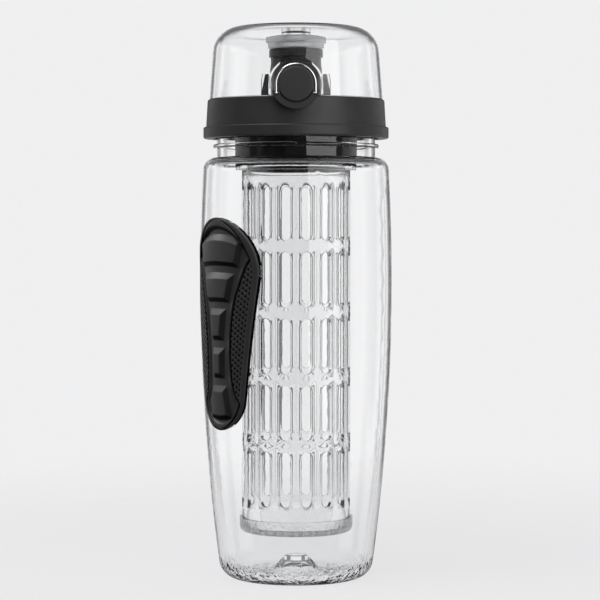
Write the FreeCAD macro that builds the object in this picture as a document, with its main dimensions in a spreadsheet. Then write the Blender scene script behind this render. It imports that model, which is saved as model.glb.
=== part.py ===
# A fruit infuser water bottle: a clear bulged bottle with a moulded grip, a black screw lid under a
# clear flip cap with a push-button catch and a wire lock, and a slotted infuser hung from the lid.
# Millimetres. +Z is up, the front with the button faces -Y, and the base stands on z = 0.

import FreeCAD
import Part
import Sketcher

import math
import os
import re

doc = FreeCAD.newDocument("infuser_bottle")
sheet = doc.addObject("Spreadsheet::Sheet", "Sizes")

# Driving sizes: lengths in millimetres, angles in degrees, counts as whole numbers.
SIZES = (
    ("running_gap", 0.3, "between pieces that move past each other"),
    ("seat_gap", 0.05, "round a piece that stays in its seat"),
    ("pin_gap", 0.05, "round a pin that something turns on"),
    ("cut_overrun", 3, "how far a cutting shape passes the face it opens"),

    ("body_max_radius", 46.1, "bottle at its widest"),
    ("body_max_height", 142, "height of the widest ring"),
    ("body_side_radius", 991, "long bulge of the side"),
    ("body_wall", 2.6, "clear wall"),
    ("base_corner_radius", 9, "round edge at the foot"),
    ("base_floor", 3.4, "floor"),
    ("foot_inset", 27.1, "standing ring's inner edge inside the widest ring"),
    ("punt_height", 7.5, "rise of the floor's middle"),
    ("punt_crown_share", 0.27, "flat top of the raised floor as a share of its foot"),
    ("punt_slope_share", 0.5, "foot of its steep slope as a share of its foot"),
    ("punt_step_share", 0.36, "height of that slope's foot as a share of the rise"),
    ("punt_round", 1.2, "bends of the raised floor"),
    ("shoulder_height", 201.8, "top of the shoulder"),
    ("shoulder_round_share", 0.95, "share of the shoulder that its round edge takes"),
    ("neck_step", 8.05, "neck inside the widest ring"),
    ("neck_wall", 2.85, "wall of the neck"),
    ("neck_height", 19.4, "rim of the neck above the shoulder"),
    ("bead_reach", 1.8, "carrying bead out from the neck"),
    ("bead_lift", 4.3, "underside of the bead above the shoulder"),
    ("bead_thickness", 1.9, "bead"),
    ("bead_round", 0.7, "edges of the bead and of the rim"),

    ("grip_azimuth", 54.5, "grip's turn from the front to the left"),
    ("grip_drop", 28.8, "top of the grip under the shoulder"),
    ("grip_length", 100.1, "grip, top to bottom"),
    ("grip_top_radius", 25, "round top end"),
    ("grip_bottom_radius", 17, "round bottom end"),
    ("grip_depth", 1.5, "recess in the wall"),
    ("grip_rim", 1.4, "edge left round the raised band"),
    ("band_rise", 0.3, "waisted band above the wall"),
    ("pad_rise", 0.9, "finger pads above the wall"),
    ("band_top_half", 21.5, "half width of the band under its hood"),
    ("hood_height", 14.8, "hood over the band"),
    ("band_foot_half", 14.3, "half width of the band at its foot"),
    ("foot_height", 10.8, "foot under the band"),
    ("band_side_radius", 92, "waist of the band"),

    ("gasket_thickness", 1.6, "soft ring on the rim"),
    ("gasket_margin", 0.4, "ring inside the rim's edges"),

    ("collar_drop", 10.4, "lower edge of the collar under the rim"),
    ("flange_wall", 4.9, "lower flange round the bore"),
    ("flange_height", 5.4, "lower flange"),
    ("flange_step", 1.3, "upper band's foot inside the flange"),
    ("band_taper", 0.75, "upper band, foot to top"),
    ("collar_rise", 1.6, "face the flip cap closes on above the deck"),
    ("thread_room", 1.45, "room for the screw thread"),
    ("collar_lip", 0.55, "top of the collar inside the neck"),
    ("collar_rim_thickness", 3, "inward rim over the deck"),
    ("collar_round", 0.7, "edges of the collar"),

    ("deck_thickness", 4.7, "plate round the spout"),
    ("skirt_wall", 2.9, "skirt in the neck"),
    ("skirt_drop", 22.9, "lower edge of the skirt under the rim"),
    ("spout_socket_depth", 3.5, "spout's seat in the deck"),

    ("spout_radius", 11.95, "outside of the spout"),
    ("spout_bore", 9.5, "way through the spout"),
    ("spout_rise", 24.5, "mouth of the spout above the collar"),
    ("lip_radius", 12.85, "lip"),
    ("lip_height", 4, "lip"),
    ("lip_round", 1, "edges of the lip"),

    ("dome_step", 0.8, "flip cap's foot inside the collar"),
    ("dome_taper", 2.5, "flip cap, foot to crown"),
    ("dome_room", 12.3, "top of the flip cap above the spout"),
    ("dome_top_radius", 200, "gentle crown of the top"),
    ("dome_corner_radius", 12, "round edge of the top"),
    ("dome_wall", 2, "clear wall"),
    ("arch_rim", 0.9, "rim of that opening"),
    ("arch_reach", 1.5, "rim's front face out from the dome"),
    ("arch_sink", 3.9, "rim's back edge in from the dome"),
    ("ear_reach", 3.2, "thick ear beside the rim"),
    ("ear_rise", 10, "top of the ears above the collar"),
    ("ear_sink", 3.3, "front of the ears and the sill in from the dome"),
    ("ear_depth", 2.6, "ears, front to back"),
    ("sill_depth", 2, "catch bar, front to back"),
    ("sill_height", 3, "catch bar"),
    ("seal_boss_radius", 7, "boss under the crown"),

    ("seal_radius", 13.4, "lower step of the seal"),
    ("seal_top_radius", 14.4, "upper step of the seal"),
    ("seal_step_height", 2.9, "lower step"),
    ("seal_height", 6.2, "seal above the lip"),
    ("seal_socket_depth", 2.5, "boss's seat in the seal"),
    ("plug_radius", 8, "plug at the mouth"),
    ("plug_tip_radius", 7.4, "plug at its tip"),
    ("plug_depth", 1.4, "plug in the mouth"),

    ("pivot_reach", 1.1, "hinge axis behind the collar"),
    ("pivot_rise", 3.4, "hinge axis above the collar"),
    ("knuckle_radius", 2.9, "hinge knuckles"),
    ("pin_radius", 1.2, "hinge pin"),
    ("lug_outer", 11, "outer faces of the collar's lugs"),
    ("lug_inner", 6.5, "inner faces of the collar's lugs"),
    ("lug_drop", 12, "where the lugs grow out, under the collar's top"),
    ("cap_knuckle_inner", 3.4, "inner faces of the cap's knuckles"),
    ("web_rise", 12, "where the cap's knuckles join its wall, above the collar"),
    ("notch_gap", 0.6, "cap's notch round the lugs"),

    ("cap_spring_wire", 0.7, "torsion spring"),
    ("cap_spring_radius", 2, "middle of its coil"),
    ("cap_spring_pitch", 1.2, "turn to turn"),
    ("cap_spring_turns", 4, "whole turns, before the last half"),
    ("cap_spring_leg", 5.5, "straight legs"),

    ("button_rise", 5.1, "middle of the button above the collar"),
    ("button_radius", 8.2, "button"),
    ("button_reach", 1.6, "button's face out from the flange"),
    ("button_thickness", 2.6, "button's head"),
    ("button_round", 0.7, "edge of the button's face"),
    ("button_gap", 0.4, "round the button's head"),
    ("button_travel", 2, "push"),
    ("boss_radius", 11.4, "half ring round the button"),
    ("boss_drop", 3.1, "flat ends of the half ring under the button's middle"),
    ("boss_reach", 1, "half ring's face out from the flange"),
    ("stem_half", 4, "half width of the stem"),
    ("stem_drop", 9.5, "underside of the stem under the button's middle"),
    ("stem_height", 3.6, "stem"),
    ("stem_reach", 6.8, "rear end of the stem behind the ears' front"),
    ("hook_thickness", 2, "hook"),
    ("hook_rise", 0.9, "hook above the button's middle"),
    ("nose_height", 2, "nose of the hook"),

    ("button_spring_wire", 0.5, "compression spring"),
    ("button_spring_radius", 1.6, "middle of its coil"),
    ("button_spring_pitch", 1.15, "turn to turn"),
    ("button_spring_turns", 5, "whole turns"),

    ("bail_wire", 1.1, "wire of the lock"),
    ("bail_radius", 9.1, "bow of the lock"),
    ("bail_reach", 0.2, "plane of the lock out from the flange"),
    ("bail_drop", 4.3, "axis of the lock under the button's middle"),
    ("bail_pin_end", 7.5, "inner end of its pins"),
    ("bail_slot_gap", 0.2, "round the wire's ends"),

    ("tube_room", 9.2, "infuser tube in from the neck"),
    ("tube_wall", 1.8, "infuser tube"),
    ("tube_bottom", 25.5, "infuser tube's lower end"),
    ("tube_seat", 9.1, "infuser tube's upper end in the skirt"),
    ("tube_flange_reach", 3, "flange out from the tube"),
    ("tube_flange_thickness", 2.6, "flange under the skirt"),
    ("slot_columns", 16, "slots round the tube"),
    ("slot_rows", 5, "slots one above another"),
    ("slot_half", 2.5, "half width of a slot"),
    ("slot_length", 26.1, "slot"),
    ("slot_pitch", 31.4, "slot to slot, upwards"),
    ("slot_drop", 10.1, "upper end of the top slots under the skirt"),
    ("tube_lug_reach", 1.5, "bayonet lugs"),
    ("tube_lug_angle", 22, "bayonet lugs"),
    ("tube_lug_height", 2.5, "bayonet lugs"),
    ("tube_lug_lift", 4.6, "bayonet lugs above the skirt's edge"),
    ("bayonet_turn", 60, "turn from locked to free"),

    ("strainer_floor", 3, "plate under the tube"),
    ("strainer_wall", 1.2, "cup round the tube's end"),
    ("strainer_lap", 4, "cup up round the tube's end"),
    ("strainer_round", 3, "lower edge of the cup"),
    ("strainer_hole_share", 0.058, "drain hole's radius as a share of the tube's"),
    ("strainer_ring_inset", 7, "outer ring of drain holes in from the tube"),
    ("strainer_ring_count", 16, "outer ring of drain holes"),
)

# Places that follow from the driving sizes.
DERIVED = {
    "punt_radius": "body_max_radius - foot_inset",
    "neck_radius": "body_max_radius - neck_step",
    "neck_bore": "neck_radius - neck_wall",
    "neck_top": "shoulder_height + neck_height",
    "bead_radius": "neck_radius + bead_reach",
    "bead_bottom": "shoulder_height + bead_lift",
    "grip_top": "shoulder_height - grip_drop",
    "grip_bottom": "grip_top - grip_length",
    "band_top_height": "grip_top - hood_height",
    "band_foot_height": "grip_bottom + foot_height",
    "collar_bottom": "neck_top - collar_drop",
    "flange_radius": "collar_bore + flange_wall",
    "band_low_radius": "flange_radius - flange_step",
    "collar_top_radius": "band_low_radius - band_taper",
    "collar_top": "deck_top + collar_rise",
    "collar_bore": "neck_radius + thread_room",
    "collar_mouth": "neck_radius - collar_lip",
    "skirt_radius": "skirt_bore + skirt_wall",
    "skirt_bottom": "neck_top - skirt_drop",
    "spout_top": "collar_top + spout_rise",
    "dome_foot_radius": "collar_top_radius - dome_step",
    "dome_crown_radius": "dome_foot_radius - dome_taper",
    "dome_top": "spout_top + dome_room",
    "arch_radius": "boss_radius + running_gap",
    "arch_front": "dome_foot_radius + arch_reach",
    "arch_back": "dome_foot_radius - arch_sink",
    "ear_top": "collar_top + ear_rise",
    "ear_front": "dome_foot_radius - ear_sink",
    "pivot_back": "collar_top_radius + pivot_reach",
    "pivot_height": "collar_top + pivot_rise",
    "lug_root_height": "collar_top - lug_drop",
    "web_top": "collar_top + web_rise",
    "button_height": "collar_top + button_rise",
    "button_front": "flange_radius + button_reach",
    "boss_front": "flange_radius + boss_reach",
    "boss_top": "button_height - boss_drop",
    "stem_bottom": "button_height - stem_drop",
    "stem_end": "ear_front - stem_reach",
    "hook_top": "button_height + hook_rise",
    "bail_back": "flange_radius + bail_reach",
    "bail_pivot_height": "button_height - bail_drop",
    "tube_radius": "neck_bore - tube_room",
    "tube_top": "skirt_bottom + tube_seat",
    "tube_flange_radius": "tube_radius + tube_flange_reach",
    "slot_top": "skirt_bottom - slot_drop",
    "tube_lug_bottom": "skirt_bottom + tube_lug_lift",
    "strainer_top": "tube_bottom + strainer_lap",
    "strainer_ring_radius": "tube_radius - strainer_ring_inset",
    "side_centre": "body_max_radius - body_side_radius",
    "inner_side_radius": "body_side_radius - body_wall",
    "shoulder_rise": "shoulder_height - body_max_height",
    "base_edge": "side_centre + sqrt(body_side_radius^2 - body_max_height^2)",
    "shoulder_corner_radius": "shoulder_round_share * (shoulder_edge - neck_radius)",
    "shoulder_edge": "side_centre + sqrt(body_side_radius^2 - shoulder_rise^2)",
    "floor_edge": "side_centre + sqrt(inner_side_radius^2 - (body_max_height - base_floor)^2)",
    "shoulder_inner_edge": "side_centre + sqrt(inner_side_radius^2 - (shoulder_rise - body_wall)^2)",
    "punt_foot": "punt_radius + base_floor",
    "punt_crown": "punt_crown_share * punt_radius",
    "punt_slope": "punt_slope_share * punt_radius",
    "punt_step": "punt_step_share * punt_height",
    "bead_top": "bead_bottom + bead_thickness",
    "grip_top_centre": "grip_top - grip_top_radius",
    "grip_bottom_centre": "grip_bottom + grip_bottom_radius",
    "grip_lean": "(grip_top_radius - grip_bottom_radius) / (grip_top_centre - grip_bottom_centre)",
    "grip_upright": "sqrt(1 - grip_lean^2)",
    "gasket_bottom": "neck_top + seat_gap",
    "deck_bottom": "gasket_bottom + gasket_thickness + seat_gap",
    "deck_top": "deck_bottom + deck_thickness",
    "deck_step": "collar_top - collar_rim_thickness",
    "skirt_bore": "tube_radius + running_gap",
    "spout_seat": "deck_top - spout_socket_depth",
    "flange_top": "collar_bottom + flange_height",
    "dome_foot": "collar_top + running_gap",
    "dome_crown_height": "dome_top - dome_top_radius + sqrt(dome_top_radius^2 - dome_crown_radius^2)",
    "dome_ceiling": "dome_top - dome_wall",
    "dome_inner_top_radius": "dome_top_radius - dome_wall",
    "dome_inner_crown": "dome_crown_radius - dome_wall",
    "dome_inner_crown_height":
        "dome_ceiling - dome_inner_top_radius + sqrt(dome_inner_top_radius^2 - dome_inner_crown^2)",
    "arch_outer": "arch_radius + arch_rim",
    "ear_root": "arch_radius + arch_rim / 2",
    "ear_side": "arch_outer + ear_reach",
    "sill_back": "ear_front - sill_depth",
    "seal_bottom": "spout_top + running_gap",
    "seal_top": "seal_bottom + seal_height",
    "seal_socket": "seal_top - seal_socket_depth",
    "lug_root": "collar_bore + running_gap",
    "cap_knuckle_outer": "lug_inner - running_gap",
    "notch_half": "lug_outer + notch_gap",
    "notch_top": "pivot_height + knuckle_radius + notch_gap",
    "notch_front": "dome_foot_radius - 4 * dome_wall",
    "web_root": "dome_foot_radius - dome_wall",
    "button_back": "button_front - button_thickness",
    "pocket_floor": "button_back - button_travel - running_gap",
    "pocket_radius": "button_radius + button_gap",
    "stem_top": "stem_bottom + stem_height",
    "nose_tip": "sill_back - running_gap",
    "hook_front": "stem_end + hook_thickness",
    "channel_half": "stem_half + running_gap",
    "channel_floor": "stem_bottom - running_gap",
    "button_spring_length": "button_spring_turns * button_spring_pitch + button_spring_wire",
    "channel_end": "stem_end - button_spring_length - 2 * seat_gap",
    "bail_half": "bail_wire / 2",
    "bail_slot_half": "bail_half + bail_slot_gap",
    "bail_slot_floor": "bail_pivot_height - bail_half - running_gap",
    "bail_slot_back": "bail_back - bail_half - bail_slot_gap",
    "tube_bore": "tube_radius - tube_wall",
    "tube_flange_top": "skirt_bottom - seat_gap",
    "tube_flange_bottom": "tube_flange_top - tube_flange_thickness",
    "tube_lug_radius": "tube_radius + tube_lug_reach",
    "groove_radius": "tube_lug_radius + running_gap",
    "groove_bottom": "tube_lug_bottom - running_gap",
    "groove_height": "tube_lug_height + 2 * running_gap",
    "strainer_hole_radius": "strainer_hole_share * tube_radius",
    "strainer_bore": "tube_radius + seat_gap",
    "strainer_radius": "strainer_bore + strainer_wall",
    "strainer_seat": "tube_bottom - seat_gap",
    "strainer_bottom": "strainer_seat - strainer_floor",
}

# Finger pads of the grip, from the top: upper and lower edge as shares of the grip's height, and the
# half widths at those edges as shares of its top radius.
PAD_SHARES = (
    (0.915, 0.775, 0.70, 0.58),
    (0.745, 0.605, 0.49, 0.34),
    (0.570, 0.425, 0.28, 0.19),
    (0.390, 0.245, 0.19, 0.18),
    (0.210, 0.075, 0.23, 0.34),
)

FRONT = FreeCAD.Rotation(FreeCAD.Vector(1, 0, 0), 90)
SIDEWAYS = FreeCAD.Rotation(FreeCAD.Vector(0, 1, 0), 90)
UP = FreeCAD.Rotation()


def fill_sheet():
    for row, (alias, number, words) in enumerate(SIZES, start=1):
        sheet.set("A%d" % row, words)
        sheet.set("B%d" % row, str(number))
        sheet.setAlias("B%d" % row, alias)
    doc.recompute()


def bound(expression):
    """The expression with each size read from the sheet and each derived place written out."""
    def swap(match):
        word = match.group(0)
        if word in DERIVED:
            return "(" + bound(DERIVED[word]) + ")"
        return "Sizes." + word if word in ALIASES else word
    return re.sub(r"[a-z_]+", swap, expression)


def value(expression):
    return float(sheet.evalExpression(bound(expression)))


def add_arc(sketch, start, end, radius):
    """An arc of less than half a turn: it turns left on its way where the radius is positive."""
    reach = value(radius)
    chord = end - start
    rise = math.sqrt(max(0.0, reach ** 2 - (chord.Length / 2) ** 2))
    left = FreeCAD.Vector(-chord.y, chord.x, 0).normalize()
    centre = (start + end) / 2 + left * math.copysign(rise, reach)
    first, last = (start, end) if reach > 0 else (end, start)
    angles = [math.atan2(spot.y - centre.y, spot.x - centre.x) for spot in (first, last)]
    circle = Part.Circle(centre, FreeCAD.Vector(0, 0, 1), abs(reach))
    geometry = sketch.addGeometry(Part.ArcOfCircle(circle, angles[0], angles[1]))
    number = sketch.addConstraint(Sketcher.Constraint("Radius", geometry, abs(reach)))
    sketch.setExpression("Constraints[%d]" % number, bound("abs(%s)" % radius))
    return (geometry, 1, 2) if reach > 0 else (geometry, 2, 1)


def hold_point(sketch, geometry, end, point):
    """Tie one end of an edge to its two measures from the sketch's origin."""
    for kind, axis, expression in (("DistanceX", -2, point[0]), ("DistanceY", -1, point[1])):
        if expression == "0":
            sketch.addConstraint(Sketcher.Constraint("PointOnObject", geometry, end, axis))
        else:
            measure = Sketcher.Constraint(kind, -1, 1, geometry, end, value(expression))
            number = sketch.addConstraint(measure)
            sketch.setExpression("Constraints[%d]" % number, bound(expression))


def draw(sketch, points):
    """A closed outline through the points. A third entry is the radius of the arc that leads there."""
    spots = [FreeCAD.Vector(value(point[0]), value(point[1]), 0) for point in points]
    edges = []
    for index, point in enumerate(points):
        if len(point) == 3:
            edges.append(add_arc(sketch, spots[index - 1], spots[index], point[2]))
        else:
            edges.append((sketch.addGeometry(Part.LineSegment(spots[index - 1], spots[index])), 1, 2))
    for index, (geometry, first, last) in enumerate(edges):
        following = edges[(index + 1) % len(edges)]
        sketch.addConstraint(Sketcher.Constraint("Coincident", geometry, last, following[0], following[1]))
        hold_point(sketch, geometry, last, points[index])


def new_sketch(body, name, role, offset=None):
    sketch = body.newObject("Sketcher::SketchObject", name)
    plane = next(item for item in body.Origin.OriginFeatures if item.Role == role)
    sketch.AttachmentSupport = (plane, [""])
    sketch.MapMode = "FlatFace"
    if offset:
        sketch.setExpression("AttachmentOffset.Base.z", bound(offset))
    return sketch


def new_body(name):
    return doc.addObject("PartDesign::Body", name)


def revolved(name, points):
    """A body turned about the bottle's axis from an outline of radius and height."""
    body = new_body(name)
    sketch = new_sketch(body, name + "_outline", "XZ_Plane")
    draw(sketch, points)
    turn = body.newObject("PartDesign::Revolution", name + "_turn")
    turn.Profile = sketch
    turn.ReferenceAxis = (sketch, ["V_Axis"])
    turn.Angle = 360
    doc.recompute()
    return body


def padded(name, role, points, length, offset=None, symmetric=False):
    """A body raised from an outline: XZ outlines rise to the front, YZ ones to the right."""
    body = new_body(name)
    sketch = new_sketch(body, name + "_outline", role, offset)
    draw(sketch, points)
    pad = body.newObject("PartDesign::Pad", name + "_pad")
    pad.Profile = sketch
    pad.setExpression("Length", bound(length))
    pad.SideType = "Symmetric" if symmetric else "One side"
    doc.recompute()
    return body


def round_rings(body, radius, rings):
    """Round the circular edges of a turned body that have the given radii and heights."""
    base = body.Tip
    wanted = [(value(ring), value(height)) for ring, height in rings]
    names = []
    for number, edge in enumerate(base.Shape.Edges, start=1):
        if edge.Degenerated or not isinstance(edge.Curve, Part.Circle):
            continue
        here = (edge.Curve.Radius, edge.Curve.Center.z)
        if any(math.dist(here, spot) < value("seat_gap") for spot in wanted):
            names.append("Edge%d" % number)
    fillet = body.newObject("PartDesign::Fillet", base.Name + "_round")
    fillet.Base = (base, names)
    fillet.setExpression("Radius", bound(radius))
    doc.recompute()


def place(item, spot, rotation):
    item.Placement = FreeCAD.Placement(FreeCAD.Vector(), rotation)
    for axis, expression in zip("xyz", spot):
        item.setExpression("Placement.Base." + axis, bound(expression))


def cylinder(name, radius, length, spot, rotation=UP):
    item = doc.addObject("Part::Cylinder", name)
    item.setExpression("Radius", bound(radius))
    item.setExpression("Height", bound(length))
    place(item, spot, rotation)
    return item


def block(name, across, deep, tall):
    """A box between two measures along X, along Y and along Z."""
    item = doc.addObject("Part::Box", name)
    for side, (low, high) in zip(("Length", "Width", "Height"), (across, deep, tall)):
        item.setExpression(side, bound("(%s) - (%s)" % (high, low)))
    place(item, (across[0], deep[0], tall[0]), UP)
    return item


def sector(name, radius, angle, start, low, height):
    """A slice of a disc, from a start angle round the bottle's axis."""
    item = cylinder(name, radius, height, ("0", "0", low))
    item.setExpression("Angle", bound(angle))
    item.Placement = FreeCAD.Placement(
        FreeCAD.Vector(0, 0, value(low)), FreeCAD.Rotation(FreeCAD.Vector(0, 0, 1), value(start)))
    item.setExpression("Placement.Rotation.Angle", bound("(%s) * 1 deg" % start))
    return item


def fuse(name, items):
    item = doc.addObject("Part::MultiFuse", name)
    item.Shapes = items
    return item


def common(name, items):
    item = doc.addObject("Part::MultiCommon", name)
    item.Shapes = items
    return item


def cut(name, base, tools):
    item = doc.addObject("Part::Cut", name)
    item.Base = base
    item.Tool = tools[0] if len(tools) == 1 else fuse(name + "_cutters", tools)
    return item


def turn_to_grip(item):
    """Turn a shape made at the front round to the grip's side."""
    item.Placement = FreeCAD.Placement(
        FreeCAD.Vector(), FreeCAD.Rotation(FreeCAD.Vector(0, 0, -1), value("grip_azimuth")))
    item.setExpression("Placement.Rotation.Angle", bound("grip_azimuth * 1 deg"))


def rounded_slot(half, low, high):
    """Outline of an upright slot with round ends."""
    return [
        (half, "%s - %s" % (high, half)),
        ("0", high, half),
        ("-" + half, "%s - %s" % (high, half), half),
        ("-" + half, "%s + %s" % (low, half)),
        ("0", low, half),
        (half, "%s + %s" % (low, half), half),
    ]


def bottle_shell():
    body = revolved("bottle_shell", [
        ("0", "punt_height"),
        ("punt_crown", "punt_height"),
        ("punt_slope", "punt_step"),
        ("punt_radius", "0"),
        ("base_edge", "0"),
        ("shoulder_edge", "shoulder_height", "body_side_radius"),
        ("neck_radius", "shoulder_height"),
        ("neck_radius", "bead_bottom"),
        ("bead_radius", "bead_bottom"),
        ("bead_radius", "bead_top"),
        ("neck_radius", "bead_top"),
        ("neck_radius", "neck_top"),
        ("neck_bore", "neck_top"),
        ("neck_bore", "shoulder_height - body_wall"),
        ("shoulder_inner_edge", "shoulder_height - body_wall"),
        ("floor_edge", "base_floor", "-inner_side_radius"),
        ("punt_foot", "base_floor"),
        ("punt_slope", "punt_step + base_floor"),
        ("punt_crown", "punt_height + base_floor"),
        ("0", "punt_height + base_floor"),
    ])
    round_rings(body, "punt_round", [("punt_crown", "punt_height"), ("punt_slope", "punt_step"),
                                     ("punt_crown", "punt_height + base_floor"),
                                     ("punt_slope", "punt_step + base_floor")])
    round_rings(body, "base_corner_radius", [("base_edge", "0")])
    round_rings(body, "base_corner_radius - body_wall", [("floor_edge", "base_floor")])
    round_rings(body, "shoulder_corner_radius", [("shoulder_edge", "shoulder_height")])
    round_rings(body, "shoulder_corner_radius - body_wall",
                [("shoulder_inner_edge", "shoulder_height - body_wall")])
    round_rings(body, "bead_round", [("bead_radius", "bead_bottom"), ("bead_radius", "bead_top"),
                                     ("neck_radius", "neck_top")])
    return body


def wall_skin(name, rise):
    """A turned skin over the bottle's side, from the recess's floor to a rise above the wall."""
    low = "(grip_bottom - cut_overrun)"
    high = "(grip_top + cut_overrun)"
    outer = "(body_side_radius + %s)" % rise
    inner = "(body_side_radius - grip_depth)"
    reach = "side_centre + sqrt(%s^2 - (%s - body_max_height)^2)"
    return revolved(name, [
        (reach % (outer, low), low),
        (reach % (outer, high), high, outer),
        (reach % (inner, high), high),
        (reach % (inner, low), low, "-" + inner),
    ])


def grip_prism(name, inset):
    """The grip's outline, two round ends and their tangents, driven through the wall."""
    top = "(grip_top_radius - %s)" % inset
    foot = "(grip_bottom_radius - %s)" % inset
    points = [
        (foot + " * grip_upright", "grip_bottom_centre - %s * grip_lean" % foot, foot),
        (top + " * grip_upright", "grip_top_centre - %s * grip_lean" % top),
        ("0", "grip_top_centre + " + top, top),
        ("-%s * grip_upright" % top, "grip_top_centre - %s * grip_lean" % top, top),
        ("-%s * grip_upright" % foot, "grip_bottom_centre - %s * grip_lean" % foot),
        ("0", "grip_bottom_centre - " + foot, foot),
    ]
    return padded(name, "XZ_Plane", points, "body_max_radius + cut_overrun")


def grip_band():
    """The waisted band: hood, waist and foot."""
    return padded("band_prism", "XZ_Plane", [
        ("band_foot_half", "grip_bottom - cut_overrun"),
        ("band_foot_half", "band_foot_height"),
        ("band_top_half", "band_top_height", "-band_side_radius"),
        ("band_top_half", "grip_top + cut_overrun"),
        ("-band_top_half", "grip_top + cut_overrun"),
        ("-band_top_half", "band_top_height"),
        ("-band_foot_half", "band_foot_height", "-band_side_radius"),
        ("-band_foot_half", "grip_bottom - cut_overrun"),
    ], "body_max_radius + cut_overrun")


def grip_pads():
    """One prism per finger pad."""
    prisms = []
    for number, (upper, lower, wide, narrow) in enumerate(PAD_SHARES, start=1):
        high = "grip_bottom + %g * (grip_top - grip_bottom)" % upper
        low = "grip_bottom + %g * (grip_top - grip_bottom)" % lower
        top_half = "%g * grip_top_radius" % wide
        low_half = "%g * grip_top_radius" % narrow
        prisms.append(padded("pad_prism_%d" % number, "XZ_Plane", [
            (low_half, low), (top_half, high), ("-" + top_half, high), ("-" + low_half, low),
        ], "body_max_radius + cut_overrun"))
    return prisms


def grip_pad():
    panel = common("grip_panel", [wall_skin("panel_skin", "0"), grip_prism("grip_outline", "seat_gap")])
    band = common("grip_band", [wall_skin("band_skin", "band_rise"), grip_prism("band_limit", "grip_rim"),
                                grip_band()])
    pads = common("grip_fingers", [wall_skin("pad_skin", "pad_rise"),
                                   fuse("pad_prisms", grip_pads())])
    grip = fuse("grip_pad", [panel, band, pads])
    turn_to_grip(grip)
    return grip


def bottle_body():
    recess = common("grip_recess", [wall_skin("recess_skin", "cut_overrun"),
                                    grip_prism("recess_outline", "0")])
    turn_to_grip(recess)
    return cut("bottle_body", bottle_shell(), [recess])


def neck_gasket():
    return revolved("neck_gasket", [
        ("neck_bore + gasket_margin", "gasket_bottom"),
        ("neck_radius - gasket_margin", "gasket_bottom"),
        ("neck_radius - gasket_margin", "gasket_bottom + gasket_thickness"),
        ("neck_bore + gasket_margin", "gasket_bottom + gasket_thickness"),
    ])


def hinge_outline(side, root, near, far):
    """Side view of a hinge lug: a round knuckle, up or down by the side's sign, and its web to a root."""
    reach = side + "knuckle_radius"
    return [
        (root, near),
        (root, far),
        ("pivot_back + knuckle_radius", "pivot_height"),
        ("pivot_back", "pivot_height " + reach, reach),
        ("pivot_back - knuckle_radius", "pivot_height", reach),
    ]


def lid_collar():
    ring = revolved("collar_ring", [
        ("collar_bore", "collar_bottom"),
        ("flange_radius", "collar_bottom"),
        ("flange_radius", "flange_top"),
        ("band_low_radius", "flange_top"),
        ("collar_top_radius", "collar_top"),
        ("collar_mouth", "collar_top"),
        ("collar_mouth", "deck_step"),
        ("collar_bore", "deck_step"),
    ])
    round_rings(ring, "collar_round", [("flange_radius", "flange_top"), ("collar_top_radius", "collar_top"),
                                       ("flange_radius", "collar_bottom")])
    whole_boss = cylinder("boss_disc", "boss_radius", "boss_front - lug_root",
                          ("0", "-lug_root", "button_height"), FRONT)
    above = block("boss_trim", ("-boss_radius - cut_overrun", "boss_radius + cut_overrun"),
                  ("-boss_front - cut_overrun", "0"),
                  ("boss_top", "button_height + boss_radius + cut_overrun"))
    boss = cut("button_boss", whole_boss, [above])
    bar = padded("lug_bar", "YZ_Plane", hinge_outline("+", "lug_root", "collar_top", "lug_root_height"),
                 "2 * lug_outer", symmetric=True)
    solid = fuse("collar_solid", [ring, boss, bar])
    slots = []
    for name, side in (("left", "-"), ("right", "")):
        edges = ["%sbail_radius - bail_slot_half" % side, "%sbail_radius + bail_slot_half" % side]
        slots.append(block("bail_slot_" + name, edges, ("-boss_front - cut_overrun", "-bail_slot_back"),
                           ("bail_slot_floor", "collar_top + cut_overrun")))
    return cut("lid_collar", solid, slots + [
        cylinder("button_pocket", "pocket_radius", "button_front + cut_overrun - pocket_floor",
                 ("0", "-pocket_floor", "button_height"), FRONT),
        block("stem_slot", ("-channel_half", "channel_half"),
              ("-pocket_floor - cut_overrun", "-collar_mouth + cut_overrun"),
              ("channel_floor", "collar_top + cut_overrun")),
        cylinder("bail_holes", "bail_half + pin_gap", "2 * bail_radius",
                 ("-bail_radius", "-bail_back", "bail_pivot_height"), SIDEWAYS),
        block("lug_space", ("-lug_inner", "lug_inner"),
              ("lug_root - cut_overrun", "pivot_back + knuckle_radius + cut_overrun"),
              ("collar_top", "pivot_height + knuckle_radius + cut_overrun")),
        cylinder("lug_hole", "pin_radius + seat_gap", "2 * (lug_outer + cut_overrun)",
                 ("-lug_outer - cut_overrun", "pivot_back", "pivot_height"), SIDEWAYS),
    ])


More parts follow.
